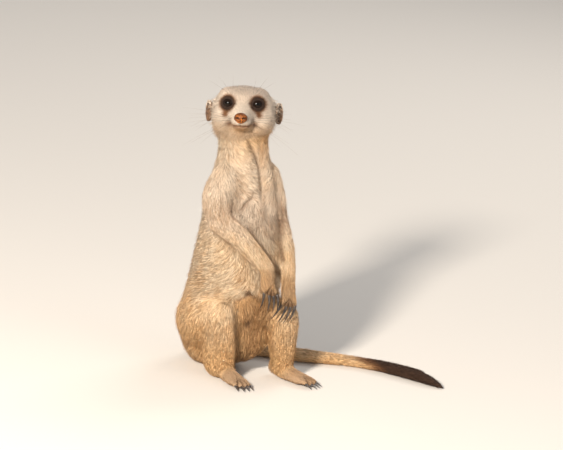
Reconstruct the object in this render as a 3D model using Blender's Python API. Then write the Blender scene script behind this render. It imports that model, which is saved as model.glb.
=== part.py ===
"""A meerkat sitting upright on its haunches, life size, as a still museum model.

The animal looks along -Y, with +Z up and +X on its left. Lengths in the tables are
millimetres for an animal SITTING_HEIGHT tall; MM turns them into metres. The trunk
has a frame of its own, turned by BODY_YAW, because the head looks over its shoulder.
Every soft part is a loft of oval sections, sizes measured to the tips of the coat.
"""

import math

import bmesh
import bpy
from mathutils import Euler, Matrix, Vector

# --- Driving dimensions -------------------------------------------------------------
SITTING_HEIGHT = 0.266
DESIGN_HEIGHT = 266.0
MM = SITTING_HEIGHT / DESIGN_HEIGHT
GAP = 0.3

BODY_YAW = math.radians(40)
BODY_PLACE = Vector((-19, 40, 0))

HEAD_PLACE = Vector((-27.2, 16, 250.4))
HEAD_YAW = math.radians(-2.5)
HEAD_PITCH = math.radians(10)
HEAD_ROLL = math.radians(4.9)

EYE_RADIUS = 5.5
EYE_APART = 24.8
EYE_UP = -0.9
LIDS_PLACE = (6.5, 13, 0)
LIDS_RADII = (6.5, 4.9, 4.3)
NOSE_PLACE = (22.8, 0, -13.2)
NOSE_RADII = (4.5, 5.7, 4.6)

FORE_CLAW = 17.0
HIND_CLAW = 8.5

SIDES = {"left": 1, "right": -1}
FACES = {
    "head": 1000, "neck": 240, "trunk": 800, "ear": 110,
    "upper_arm": 190, "forearm": 170, "hand": 330,
    "thigh": 250, "shank": 200, "foot": 360,
    "tail_base": 150, "tail_middle": 110, "tail_tip": 110,
}


# --- Frames -------------------------------------------------------------------------
def body_frame():
    """Columns: forward, left, up of the trunk."""
    forward = Vector((math.sin(BODY_YAW), -math.cos(BODY_YAW), 0))
    left = Vector((math.cos(BODY_YAW), math.sin(BODY_YAW), 0))
    return Matrix((forward, left, Vector((0, 0, 1)))).transposed()


def head_frame():
    """Columns: forward, left, up of the head."""
    level = Matrix(((0, 1, 0), (-1, 0, 0), (0, 0, 1)))
    turn = (
        Matrix.Rotation(HEAD_YAW, 3, "Z")
        @ Matrix.Rotation(-HEAD_PITCH, 3, "X")
        @ Matrix.Rotation(-HEAD_ROLL, 3, "Y")
    )
    return turn @ level


BODY = body_frame()
HEAD = head_frame()


def on_body(forward, left, up):
    return BODY_PLACE + BODY @ Vector((forward, left, up))


def on_head(forward, left, up):
    return HEAD_PLACE + HEAD @ Vector((forward, left, up))


# --- Shaping tools ------------------------------------------------------------------
def smooth_rows(rows, steps):
    """Rows of numbers on a Catmull-Rom curve through every given row."""
    ends = [rows[0], *rows, rows[-1]]
    made = []
    for before, start, end, after in zip(ends, ends[1:], ends[2:], ends[3:]):
        for step in range(steps):
            t = step / steps
            made.append([
                0.5 * (2 * b + (c - a) * t + (2 * a - 5 * b + 4 * c - d) * t**2
                       + (3 * b - a - 3 * c + d) * t**3)
                for a, b, c, d in zip(before, start, end, after)
            ])
    return [*made, list(rows[-1])]


def with_round_ends(rows):
    """Adds a half dome of shrinking sections to both ends of a loft."""
    def dome(first, second):
        centre, away = Vector(first[:3]), Vector(first[:3]) - Vector(second[:3])
        reach = min(first[3:])
        return [
            [*(centre + away.normalized() * reach * math.sin(angle)),
             first[3] * math.cos(angle), first[4] * math.cos(angle)]
            for angle in (math.radians(80), math.radians(55), math.radians(28))
        ]

    return [*dome(rows[0], rows[1]), *rows, *reversed(dome(rows[-1], rows[-2]))]


def loft(stations, side, place, steps=4, points=20, round_ends=True):
    """A closed tube. A station is (forward, left, up, half width, half depth).

    side is the direction of the half width, in the frame that place works in.
    """
    rows = smooth_rows([list(s) for s in stations], steps)
    if round_ends:
        rows = with_round_ends(rows)
    centres = [Vector(row[:3]) for row in rows]
    bm = bmesh.new()
    rings = []
    for i, row in enumerate(rows):
        along = centres[min(i + 1, len(rows) - 1)] - centres[max(i - 1, 0)]
        across = (Vector(side) - Vector(side).project(along)).normalized()
        deep = along.cross(across).normalized()
        ring = []
        for k in range(points):
            turn = 2 * math.pi * k / points
            offset = across * row[3] * math.cos(turn) + deep * row[4] * math.sin(turn)
            ring.append(bm.verts.new(place(*(centres[i] + offset)) * MM))
        rings.append(ring)
    for low, high in zip(rings, rings[1:]):
        for k in range(points):
            after = (k + 1) % points
            bm.faces.new((low[k], low[after], high[after], high[k]))
    bm.faces.new(list(reversed(rings[0])))
    bm.faces.new(rings[-1])
    bmesh.ops.recalc_face_normals(bm, faces=bm.faces)
    return bm


def ellipsoid(centre, radii, frame, place, detail=3, tilt=(0, 0, 0)):
    """An oval ball with its radii along the frame's axes, tilted by degrees."""
    bm = bmesh.new()
    bmesh.ops.create_icosphere(bm, subdivisions=detail, radius=1)
    turn = frame @ Euler([math.radians(a) for a in tilt]).to_matrix()
    shape = Matrix.LocRotScale(place(*centre), turn.to_quaternion(), Vector(radii))
    bm.transform(Matrix.Scale(MM, 4) @ shape)
    return bm


def as_object(name, *shapes):
    """One object that holds these bmeshes, which are freed."""
    mesh = bpy.data.meshes.new(name)
    joined = bmesh.new()
    for shape in shapes:
        part = bpy.data.meshes.new("part")
        shape.to_mesh(part)
        shape.free()
        joined.from_mesh(part)
        bpy.data.meshes.remove(part)
    joined.to_mesh(mesh)
    joined.free()
    made = bpy.data.objects.new(name, mesh)
    bpy.context.scene.collection.objects.link(made)
    return made


def apply_modifiers(obj):
    """Makes the evaluated shape the object's own mesh."""
    graph = bpy.context.evaluated_depsgraph_get()
    mesh = bpy.data.meshes.new_from_object(obj.evaluated_get(graph))
    old = obj.data
    obj.modifiers.clear()
    obj.data = mesh
    bpy.data.meshes.remove(old)


def melt(obj, voxel, smoothing):
    """Unites an object's overlapping shapes into one smooth skin."""
    remesh = obj.modifiers.new("unite", "REMESH")
    remesh.mode = "VOXEL"
    remesh.voxel_size = voxel * MM
    smooth = obj.modifiers.new("smooth", "SMOOTH")
    smooth.factor = 0.5
    smooth.iterations = smoothing
    apply_modifiers(obj)


def thin_out(obj):
    """Leaves a node the number of triangles that its kind needs."""
    kind = obj.name.replace("_left", "").replace("_right", "")
    faces = FACES[kind]
    triangles = sum(len(p.vertices) - 2 for p in obj.data.polygons)
    thinner = obj.modifiers.new("thin", "DECIMATE")
    thinner.ratio = min(1, faces / triangles)
    thinner.use_collapse_triangulate = True
    apply_modifiers(obj)


def keep_largest(obj):
    """Drops the crumbs that a cut may leave beside the main body."""
    bm = bmesh.new()
    bm.from_mesh(obj.data)
    todo, islands = set(bm.verts), []
    while todo:
        island, edge = set(), {next(iter(todo))}
        while edge:
            island |= edge
            edge = {e.other_vert(v) for v in edge for e in v.link_edges} - island
        todo -= island
        islands.append(island)
    islands.sort(key=len)
    crumbs = [v for island in islands[:-1] for v in island]
    bmesh.ops.delete(bm, geom=crumbs, context="VERTS")
    bm.to_mesh(obj.data)
    bm.free()


def half_space(obj, point, normal):
    """Keeps what lies behind a plane and closes the cut with a flat face."""
    bm = bmesh.new()
    bm.from_mesh(obj.data)
    geometry = [*bm.verts, *bm.edges, *bm.faces]
    bmesh.ops.bisect_plane(
        bm, geom=geometry, dist=1e-7, plane_co=point, plane_no=normal, clear_outer=True
    )
    rim = [e for e in bm.edges if e.is_boundary]
    filled = bmesh.ops.holes_fill(bm, edges=rim, sides=0)["faces"]
    bmesh.ops.triangulate(bm, faces=filled)
    bmesh.ops.recalc_face_normals(bm, faces=bm.faces)
    bm.to_mesh(obj.data)
    bm.free()


def part_at(obj, name, point, direction):
    """Cuts an object across and returns what lies on direction's side as a new one."""
    direction = direction.normalized()
    outer = bpy.data.objects.new(name, obj.data.copy())
    bpy.context.scene.collection.objects.link(outer)
    middle = point * MM
    half_gap = direction * GAP * MM / 2
    half_space(obj, middle - half_gap, direction)
    half_space(outer, middle + half_gap, -direction)
    keep_largest(obj)
    keep_largest(outer)
    return outer


def stand_on_floor(obj):
    """Gives what reaches the floor a small flat at level 0."""
    half_space(obj, Vector((0, 0, 0)), Vector((0, 0, -1)))
    keep_largest(obj)


def carve(obj, shape):
    """Cuts a guide shape out of obj."""
    cutter = as_object("cutter", shape)
    cutter.hide_render = True
    cutter.display_type = "WIRE"
    cut = obj.modifiers.new("carve", "BOOLEAN")
    cut.operation = "DIFFERENCE"
    cut.object = cutter
    apply_modifiers(obj)
    bpy.data.objects.remove(cutter)
    keep_largest(obj)


def make_room(obj, *others):
    """Cuts the others out of obj, with the gap that neighbours keep."""
    for other in others:
        grown = bpy.data.objects.new("room", other.data.copy())
        bpy.context.scene.collection.objects.link(grown)
        bm = bmesh.new()
        bm.from_mesh(grown.data)
        bm.normal_update()
        shifts = [v.normal * GAP * MM for v in bm.verts]
        for vertex, shift in zip(bm.verts, shifts):
            vertex.co += shift
        bm.to_mesh(grown.data)
        bm.free()
        cut = obj.modifiers.new("room", "BOOLEAN")
        cut.operation = "DIFFERENCE"
        cut.solver = "EXACT"
        cut.object = grown
        apply_modifiers(obj)
        bpy.data.objects.remove(grown)
    keep_largest(obj)


# --- Trunk, neck and head -----------------------------------------------------------
def trunk_shape():
    """From the seat up to the shoulders: (forward, left, up, half width, half depth)."""
    stations = [
        (-18, 0, -4, 13, 11),
        (-17, 0, 4, 23, 19),
        (-14, 0, 14, 32.5, 29),
        (-9.5, 0.5, 30, 39.5, 37),
        (-3.5, 1.5, 50, 42, 43),
        (1.5, 2.5, 78, 42, 44),
        (2.5, 2.8, 105, 40.5, 42),
        (1.5, 1.5, 135, 36, 37.5),
        (0, 0, 162, 31.5, 33),
        (-1, 0, 182, 27, 28.5),
    ]
    return loft(stations, (0, 1, 0), on_body, points=28)


def lap_shape():
    """The low belly and its hair, that fill the room between the hind legs."""
    return ellipsoid((12, 5, 33), (28.5, 28, 27), BODY, on_body)


def neck_shape():
    stations = [
        (0, 0, 164, 27, 29),
        (-1, -1, 182, 26.5, 27.5),
        (-2, -2, 199, 23.5, 24),
        (-2, -4, 214, 23.5, 22.5),
        (0, -6.5, 226, 27.5, 23),
        (3, -8.5, 240, 28, 21),
    ]
    return loft(stations, (0, 1, 0), on_body, points=24)


def head_shapes():
    """Stations run from the back of the skull to the nose, with up from the eye line."""
    skull = [
        (-25, 0, -6.4, 26, 20.1),
        (-18, 0, -5.9, 28, 21.1),
        (-10, 0, -6.5, 27.2, 20.7),
        (-4, 0, -8.3, 23.6, 19),
        (0.5, 0, -10.8, 17, 15.2),
        (4.5, 0, -12.4, 12.2, 12.4),
        (9, 0, -13.8, 10.3, 10.6),
        (14.5, 0, -14.3, 8.8, 8.8),
        (18.5, 0, -14.2, 6.9, 6.4),
    ]
    shapes = [loft(skull, (0, 1, 0), on_head, points=28)]
    lobes = (
        # Crown, brow, cheek, jowl, lip and chin: the middle of each pair and its radii.
        ((-15, 12, 2.6), (15, 12.5, 11.5)),
        ((-3, 12.5, 5), (6, 8, 6)),
        ((-9, 16, -13.6), (14.5, 13, 12)),
        ((-11, 14.6, -20.6), (13.5, 13, 10)),
        ((11.5, 4.4, -17.2), (8.5, 5, 4.8)),
        ((7, 2.5, -20.5), (10, 5, 4.2)),
    )
    for side in SIDES.values():
        for (forward, left, up), radii in lobes:
            shapes.append(ellipsoid((forward, side * left, up), radii, HEAD, on_head))
    return shapes


# --- Limbs --------------------------------------------------------------------------
ARMS = {
    "left": {
        "upper": [(3, 21, 178, 15, 17), (9, 28, 160, 11.5, 15), (22, 28, 140, 8.5, 11)],
        "fore": [(22, 28, 141, 8.5, 11), (38, 27.5, 117, 8.6, 9.5), (57, 19.5, 93, 6.6, 6.8)],
        "palm": [(57, 19.5, 94, 6.5, 6.4), (59.5, 19, 85, 6.6, 5.6), (60.5, 19, 79, 6.6, 4.6)],
        "tips": (61.5, 19, 71),
    },
    "right": {
        "upper": [(3, -21, 178, 15, 17), (6.5, -31.5, 160, 13.5, 18.5), (14, -34, 143, 11, 13)],
        "fore": [(15, -34, 143, 11, 13), (35, -23, 130, 10, 11), (54, -4.5, 107, 7.2, 7)],
        "palm": [(54, -4.5, 108, 7, 6.6), (55.5, -4, 97, 7, 5.6), (56.5, -3, 90, 6.8, 4.6)],
        "tips": (59, 0, 82),
    },
}
LEGS = {
    "left": {
        "thigh": [(-14, 24, 42, 19, 29), (14, 29, 50, 18, 24), (46, 30, 58, 13, 13)],
        "shank": [(47, 30, 57, 12.5, 13), (47, 30, 35, 12.5, 13.5), (48, 31, 12, 10.5, 11)],
        "foot": [(40, 29.5, 9, 6.5, 8), (57, 33, 6.5, 8, 6.5), (71, 37, 5, 9.6, 5)],
        "tips": (83, 40.5, 3.8),
    },
    "right": {
        "thigh": [(-14, -24.5, 41, 19, 26), (8, -31, 50, 19, 25), (30, -34, 60, 13.5, 14)],
        "shank": [(31, -34, 58, 13, 13.5), (27, -29, 36, 12.5, 19.5), (28, -26, 12, 12.5, 18)],
        "foot": [(24, -24, 8, 6.5, 7.5), (43, -26, 6.5, 8, 6.5), (57, -27.5, 5, 9.6, 5)],
        "tips": (70, -29, 3.8),
    },
}
DIGITS = 4
PAW_REACH = (-2.2, 0, 0, -1.6)
FORE_DIGITS = {"spread": (3.2, 3.9), "radii": (2.6, 2.4, 1.9)}
HIND_DIGITS = {"spread": (4.1, 4.8), "radii": (3.0, 2.7, 2.3)}


def digits_of(ball, tips, across, raise_by, spread, radii):
    """Four short lofts from the ball of the paw, and each one's (knuckle, tip)."""
    shapes, ends = [], []
    ball, tips = Vector(ball), Vector(tips)
    along = (tips - ball).normalized()
    for k in range(DIGITS):
        aside = across * (k - (DIGITS - 1) / 2)
        root = ball + aside * spread[0] - along * 2
        tip = tips + aside * spread[1] + along * PAW_REACH[k]
        knuckle = root.lerp(tip, 0.55) + raise_by
        rows = [
            (*point, radius, radius)
            for point, radius in zip((root, knuckle, tip), radii)
        ]
        shapes.append(loft(rows, tuple(across), on_body, steps=3, points=10))
        ends.append((knuckle, tip))
    return shapes, ends


def claw(name, knuckle, tip, length, radius, droop):
    """A curved horn sheath that grows from inside the end of a digit."""
    along = (tip - knuckle).normalized()
    rows = []
    for share in (0, 0.35, 0.7, 1):
        point = tip + along * (length * share - 1.5) + droop * length * share**2
        girth = radius * (1 - 0.78 * share)
        rows.append((*point, girth * 0.75, girth))
    side = along.cross(droop).normalized()
    horn = loft(rows, tuple(side), on_body, steps=1, points=5, round_ends=False)
    return as_object(name, horn)


# --- Tail and ears -----------------------------------------------------------------
TAIL_STATIONS = [
    # Across, back and up in the animal's own frame, then the two half widths.
    (-40, 68, 20, 10, 11),
    (-34, 79, 9.5, 9.6, 9.8),
    (-8, 87, 8, 8.6, 8.4),
    (25, 85, 6.8, 7.6, 7.2),
    (52, 83, 6.4, 7, 6.8),
    (91, 88, 5.4, 5.8, 5.8),
    (123, 84, 5.4, 5.9, 5.8),
    (156, 68, 5.8, 6.4, 6.2),
    (173, 57, 4.2, 4.8, 4.6),
    (184, 49.5, 1.6, 2, 1.9),
]
TAIL_CUTS = ((38, 84, 6.6), (107, 87, 5.4))


def tail_shape():
    return loft(TAIL_STATIONS, (0, 0, 1), lambda x, y, z: Vector((x, y, z)), points=16)


def ear_shapes(side):
    """A shallow dish with a thick rolled rim, open to the front and outside."""
    middle = Vector((-22, side * 30.8, -9.7))
    dish = ellipsoid(middle, (5.5, 2.6, 8.6), HEAD, on_head, tilt=(0, 0, side * 24))
    rim = []
    for degrees in range(-70, 251, 40):
        turn = math.radians(degrees)
        back = -5.6 * math.sin(turn)
        rim.append((
            middle.x + back * 0.9, middle.y + side * (1.9 - back * 0.22),
            middle.z + 9.0 * math.cos(turn), 1.9, 1.7,
        ))
    return [dish, loft(rim, (0, 1, 0), on_head, steps=3, points=10)]


# --- Looks of the nodes -------------------------------------------------------------
MATERIALS = {
    "fur_cream": ((0.60, 0.46, 0.30), 0.9),
    "fur_tan": ((0.50, 0.34, 0.19), 0.9),
    "fur_black": ((0.035, 0.024, 0.018), 0.85),
    "skin_dark": ((0.04, 0.026, 0.02), 0.8),
    "nose_brown": ((0.16, 0.07, 0.035), 0.6),
    "claw_horn": ((0.03, 0.024, 0.022), 0.45),
    "eye_brown": ((0.02, 0.01, 0.006), 0.1),
}


def paint(obj, material_name):
    made = bpy.data.materials.get(material_name)
    if made is None:
        colour, roughness = MATERIALS[material_name]
        made = bpy.data.materials.new(material_name)
        made.use_nodes = True
        shader = made.node_tree.nodes["Principled BSDF"]
        shader.inputs["Base Color"].default_value = (*colour, 1)
        shader.inputs["Roughness"].default_value = roughness
        shader.inputs["Metallic"].default_value = 0
    obj.data.materials.clear()
    obj.data.materials.append(made)
    obj.data.shade_smooth()
    obj.data.set_sharp_from_angle(angle=math.radians(50))


# --- Putting the animal together ----------------------------------------------------
def bisecting(before, joint, after):
    """The direction across a bent joint, from its first limb half to its second."""
    first = (BODY @ (Vector(before) - Vector(joint))).normalized()
    second = (BODY @ (Vector(after) - Vector(joint))).normalized()
    return second - first


def make_arm(side_name):
    arm, across = ARMS[side_name], BODY.inverted() @ Vector((1, 0, 0))
    upper_rows, fore_rows, palm_rows = arm["upper"], arm["fore"], arm["palm"]
    digits, ends = digits_of(
        palm_rows[-1][:3], arm["tips"], across, Vector((1.2, 0, 0)), **FORE_DIGITS
    )
    upper = as_object(
        f"upper_arm_{side_name}",
        loft(upper_rows, (0, 1, 0), on_body, points=18),
        loft(fore_rows, (0, 1, 0), on_body, points=16),
        loft(palm_rows, across, on_body, points=14),
        *digits,
    )
    melt(upper, voxel=1.0, smoothing=3)
    elbow, wrist = fore_rows[0][:3], palm_rows[0][:3]
    forearm = part_at(
        upper, f"forearm_{side_name}", on_body(*elbow),
        bisecting(upper_rows[1][:3], elbow, fore_rows[1][:3]),
    )
    hand = part_at(
        forearm, f"hand_{side_name}", on_body(*wrist),
        bisecting(fore_rows[1][:3], wrist, palm_rows[1][:3]),
    )
    for obj in (upper, forearm, hand):
        thin_out(obj)
    droop = Vector((-0.28, -0.1, -0.1))
    claws = [
        claw(f"claw_fore_{side_name}_{k + 1}", *end, FORE_CLAW, 1.75, droop)
        for k, end in enumerate(ends)
    ]
    make_room(hand, *claws)
    return upper, forearm, hand, claws


def make_leg(side_name):
    leg = LEGS[side_name]
    foot_rows, tips = leg["foot"], leg["tips"]
    forward = Vector(tips) - Vector(foot_rows[-1][:3])
    across = Vector((-forward.y, forward.x, 0)).normalized()
    digits, ends = digits_of(
        foot_rows[-1][:3], tips, across, Vector((0, 0, 1)), **HIND_DIGITS
    )
    thigh = as_object(
        f"thigh_{side_name}",
        loft(leg["thigh"], (0, 1, 0), on_body, points=22),
        loft(leg["shank"], (0, 1, 0), on_body, points=18),
        loft(foot_rows, across, on_body, points=16),
        *digits,
    )
    melt(thigh, voxel=1.1, smoothing=3)
    stand_on_floor(thigh)
    hip, knee, ankle = leg["thigh"][0][:3], leg["shank"][0][:3], leg["shank"][-1][:3]
    shank = part_at(
        thigh, f"shank_{side_name}", on_body(*knee), bisecting(hip, knee, ankle)
    )
    foot = part_at(
        shank, f"foot_{side_name}", on_body(*ankle), bisecting(knee, ankle, tips)
    )
    for obj in (thigh, shank, foot):
        thin_out(obj)
    droop = Vector((0, 0, -0.12))
    claws = [
        claw(f"claw_hind_{side_name}_{k + 1}", *end, HIND_CLAW, 1.3, droop)
        for k, end in enumerate(ends)
    ]
    make_room(foot, *claws)
    return thigh, shank, foot, claws


def make_tail():
    base = as_object("tail_base", tail_shape())
    stand_on_floor(base)
    lengths = [base]
    for name, cut, station in (
        ("tail_middle", TAIL_CUTS[0], 3), ("tail_tip", TAIL_CUTS[1], 5)
    ):
        before, after = TAIL_STATIONS[station], TAIL_STATIONS[station + 1]
        along = Vector(after[:3]) - Vector(before[:3])
        lengths.append(part_at(lengths[-1], name, Vector(cut), along))
    for obj in lengths:
        thin_out(obj)
    return lengths


def make_head_and_trunk():
    trunk = as_object("trunk", trunk_shape(), lap_shape(), neck_shape(), *head_shapes())
    melt(trunk, voxel=1.4, smoothing=5)
    stand_on_floor(trunk)
    neck = part_at(trunk, "neck", on_body(-2, 0, 195), Vector((0, 0, 1)))
    head = part_at(neck, "head", on_body(0, -6, 225), Vector((0.1, -0.45, 1)))
    for obj in (trunk, neck, head):
        thin_out(obj)
    return trunk, neck, head


def build():
    for obj in list(bpy.data.objects):
        bpy.data.objects.remove(obj)
    trunk, neck, head = make_head_and_trunk()
    tail = make_tail()
    make_room(trunk, tail[0])
    for side_name, side in SIDES.items():
        upper, forearm, hand, fore_claws = make_arm(side_name)
        thigh, shank, foot, hind_claws = make_leg(side_name)
        make_room(trunk, upper, forearm, thigh, shank, foot)
        eye = as_object(
            f"eye_{side_name}",
            ellipsoid((0, side * EYE_APART / 2, EYE_UP), [EYE_RADIUS] * 3, HEAD, on_head, 2),
        )
        ear = as_object(f"ear_{side_name}", *ear_shapes(side))
        melt(ear, voxel=0.7, smoothing=2)
        thin_out(ear)
        forward, left, up = LIDS_PLACE
        carve(head, ellipsoid((forward, side * left, up), LIDS_RADII, HEAD, on_head, 2))
        make_room(head, eye, ear)
        for obj in (upper, forearm, thigh, shank):
            paint(obj, "fur_cream")
        for obj in (hand, foot):
            paint(obj, "fur_tan")
        for obj in (*fore_claws, *hind_claws):
            paint(obj, "claw_horn")
        paint(eye, "eye_brown")
        paint(ear, "skin_dark")
    nose = as_object("nose", ellipsoid(NOSE_PLACE, NOSE_RADII, HEAD, on_head, 2))
    make_room(head, nose)
    paint(nose, "nose_brown")
    for obj in (trunk, neck, head):
        paint(obj, "fur_cream")
    paint(tail[0], "fur_tan")
    paint(tail[1], "fur_tan")
    paint(tail[2], "fur_black")


def stand_at_origin():
    """Moves everything so that the middle of the footprint is the origin."""
    objects = [obj for obj in bpy.data.objects if obj.type == "MESH"]
    corners = [v.co for obj in objects for v in obj.data.vertices]
    low = Vector([min(c[i] for c in corners) for i in range(3)])
    high = Vector([max(c[i] for c in corners) for i in range(3)])
    shift = Matrix.Translation(-Vector(((low.x + high.x) / 2, (low.y + high.y) / 2, low.z)))
    for obj in objects:
        obj.data.transform(shift)


build()
stand_at_origin()
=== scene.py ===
# %% [markdown]
# # A meerkat keeping watch
# The finished look of a life-size, still model of a meerkat that sits upright on its
# haunches and turns its head. The CAD part gives the true outline, measured to the tips
# of the coat. Here a single skin is grown inside that outline, and the coat, eyes, nose,
# ears, claws and whiskers are laid on it one after the other. Lengths are millimetres
# until a mesh is written, and MM turns them into metres.

# %% Start from the CAD
import math

import bmesh
import bpy
import numpy as np
from mathutils import Matrix, Vector


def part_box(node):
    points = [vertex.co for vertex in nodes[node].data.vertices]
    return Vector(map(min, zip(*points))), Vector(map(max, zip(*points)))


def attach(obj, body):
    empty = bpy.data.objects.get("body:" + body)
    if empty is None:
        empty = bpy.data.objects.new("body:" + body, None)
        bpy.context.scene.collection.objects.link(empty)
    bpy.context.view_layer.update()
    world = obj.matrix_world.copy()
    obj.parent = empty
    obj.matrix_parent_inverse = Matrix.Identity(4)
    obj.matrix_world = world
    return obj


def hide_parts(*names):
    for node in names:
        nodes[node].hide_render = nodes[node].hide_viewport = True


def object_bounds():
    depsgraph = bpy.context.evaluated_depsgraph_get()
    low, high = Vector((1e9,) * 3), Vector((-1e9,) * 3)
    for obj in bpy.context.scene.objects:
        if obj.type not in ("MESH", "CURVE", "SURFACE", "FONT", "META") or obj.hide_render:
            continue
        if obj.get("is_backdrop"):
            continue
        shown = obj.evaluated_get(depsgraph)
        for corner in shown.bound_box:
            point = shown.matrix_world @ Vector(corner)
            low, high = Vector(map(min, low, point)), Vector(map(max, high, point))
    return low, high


MM = 0.001
SIDES = {"left": 1, "right": -1}
DIGITS = (1, 2, 3, 4)
WELD = 1e-6  # corners of the CAD's triangles that are closer than this are one
FAR = 99.0  # a distance, or a share of an opening, that hasn't been measured yet
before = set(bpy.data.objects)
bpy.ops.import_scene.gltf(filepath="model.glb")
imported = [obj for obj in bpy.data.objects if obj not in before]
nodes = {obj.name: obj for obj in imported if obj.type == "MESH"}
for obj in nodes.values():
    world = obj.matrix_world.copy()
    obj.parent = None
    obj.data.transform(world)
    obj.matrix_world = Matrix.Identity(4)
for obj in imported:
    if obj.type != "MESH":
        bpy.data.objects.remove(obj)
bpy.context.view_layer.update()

# %% [markdown]
# ## Two frames to measure in
# The trunk faces 40 degrees away from the row's front, and the head looks back over its
# shoulder, so each gets a frame of its own: forward, left, up. Every measure below is
# then a plain one, such as "12.4 mm left of the middle of the head". The eyes are exact
# balls in the CAD, so the point between them ties these frames to the row's.

# %% Frames for the body and the head
BODY_YAW = math.radians(40)
BODY_PLACE = np.array((-19.0, 40.0, 0.0))
HEAD_PLACE = np.array((-27.2, 16.0, 250.4))
HEAD_YAW, HEAD_PITCH, HEAD_ROLL = (math.radians(a) for a in (-2.5, 10, 4.9))
EYE_UP = -0.9


def middle_of(node):
    low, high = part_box(node)
    return np.array((low + high) / 2) / MM


BODY = np.array((
    (math.sin(BODY_YAW), math.cos(BODY_YAW), 0),
    (-math.cos(BODY_YAW), math.sin(BODY_YAW), 0),
    (0, 0, 1),
))
HEAD = np.array(
    Matrix.Rotation(HEAD_YAW, 3, "Z")
    @ Matrix.Rotation(-HEAD_PITCH, 3, "X")
    @ Matrix.Rotation(-HEAD_ROLL, 3, "Y")
    @ Matrix(((0, 1, 0), (-1, 0, 0), (0, 0, 1)))
)
between_eyes = (middle_of("eye_left") + middle_of("eye_right")) / 2
SHIFT = between_eyes - HEAD_PLACE - HEAD @ (0, 0, EYE_UP)


def on_body(*place):
    return SHIFT + BODY_PLACE + BODY @ np.array(place, float)


def on_head(*place):
    return SHIFT + HEAD_PLACE + HEAD @ np.array(place, float)


def in_body(places):
    return (places - SHIFT - BODY_PLACE) @ BODY


def in_head(places):
    return (places - SHIFT - HEAD_PLACE) @ HEAD


print("the frames sit at", np.round(on_body(0, 0, 0), 1), np.round(on_head(0, 0, 0), 1))

# %% [markdown]
# ## Tools for meshes and fields
# A field is one number or one arrow for each vertex. `spread` averages it over the
# neighbours, which is how a length, a colour or a lie of hair fades into the next one,
# as it does on a real animal, where nothing changes along a line.

# %% Read, write and smooth fields
def read(items, field, width=1, kind=np.float32):
    """One field of a mesh's vertices, edges, corners or faces."""
    found = np.empty(len(items) * width, kind)
    items.foreach_get(field, found)
    return found if width == 1 else found.reshape(-1, width)


def places_of(mesh):
    return read(mesh.vertices, "co", 3).astype(float) / MM


def put_places(mesh, places):
    mesh.vertices.foreach_set("co", np.ravel(places * MM).astype(np.float32))
    mesh.update()


def normals_of(mesh):
    return read(mesh.vertex_normals, "vector", 3).astype(float)


def edges_of(mesh):
    return read(mesh.edges, "vertices", 2, np.int32)


def write(mesh, name, values):
    """A number or an arrow for each vertex, which materials and trees read by name."""
    values = np.asarray(values, np.float32)
    kind, field = ("FLOAT_VECTOR", "vector") if values.ndim == 2 else ("FLOAT", "value")
    mesh.attributes.new(name, kind, "POINT").data.foreach_set(field, values.ravel())


def spread(field, edges, rounds, keep=0.0):
    """Averages a field over each vertex's neighbours; keep is the share that stays."""
    field = np.array(field, float)
    flat = field.reshape(len(field), -1)
    ends = np.concatenate((edges[:, 0], edges[:, 1]))
    others = np.concatenate((edges[:, 1], edges[:, 0]))
    count = np.maximum(np.bincount(ends, minlength=len(flat)), 1)
    for _ in range(rounds):
        for column in flat.T:
            near = np.bincount(ends, column[others], minlength=len(flat)) / count
            column[:] = keep * column + (1 - keep) * near
    return flat.reshape(field.shape)


def ramp(value, low, high):
    """0 below low, 1 above high, and smooth between them; high may be the lower one."""
    share = np.clip((value - low) / (high - low), 0, 1)
    return share * share * (3 - 2 * share)


def unit(arrows):
    return arrows / np.maximum(np.linalg.norm(arrows, axis=-1, keepdims=True), 1e-9)


def tangent(arrows, normals):
    return arrows - normals * (arrows * normals).sum(1, keepdims=True)


def new_object(name, mesh):
    made = bpy.data.objects.new(name, mesh)
    bpy.context.scene.collection.objects.link(made)
    return made


def applied(obj):
    """Makes the evaluated shape the object's own mesh, with no modifier left."""
    graph = bpy.context.evaluated_depsgraph_get()
    mesh = bpy.data.meshes.new_from_object(obj.evaluated_get(graph))
    old = obj.data
    obj.modifiers.clear()
    obj.data = mesh
    bpy.data.meshes.remove(old)
    return obj


def object_from(bm, name):
    """A smooth object, with every face turned outwards."""
    bmesh.ops.recalc_face_normals(bm, faces=bm.faces)
    mesh = bpy.data.meshes.new(name)
    bm.to_mesh(mesh)
    bm.free()
    mesh.shade_smooth()
    return new_object(name, mesh)


def triangles_in(mesh):
    return sum(len(face.vertices) - 2 for face in mesh.polygons)


def far_from(places, centre, sizes=1.0):
    """How far each place is from a centre, as a share of the sizes along the axes."""
    return np.linalg.norm((places - centre) / sizes, axis=1)


def near_line(places, line, radii=1.0):
    """How many radii each place is from a bent line, and beside which station."""
    line = np.array(line, float)
    radii = np.broadcast_to(radii, len(line))
    best, station = np.full(len(places), 1e9), np.zeros(len(places))
    for k, (start, end) in enumerate(zip(line, line[1:])):
        along = end - start
        t = np.clip((places - start) @ along / (along @ along), 0, 1)
        away = np.linalg.norm(places - start - t[:, None] * along, axis=1)
        away = away / (radii[k] + t * (radii[k + 1] - radii[k]))
        closer = away < best
        best[closer] = away[closer]
        station[closer] = (k + t)[closer]
    return best, station


print("a ramp rises", [float(ramp(share, 0, 1).round(2)) for share in (0, 0.25, 0.5, 0.75, 1)])

# %% [markdown]
# ## One skin for all the flesh
# The CAD nodes part the animal with 0.3 mm gaps. Real skin has no seams, so the nodes'
# copies are swollen until they touch and a voxel remesh makes one closed skin of them.
# The eyes and nose go in as well, which leaves skin behind them instead of holes. Face,
# hands and feet carry the finest shapes, so only their faces are divided once more.

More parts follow.
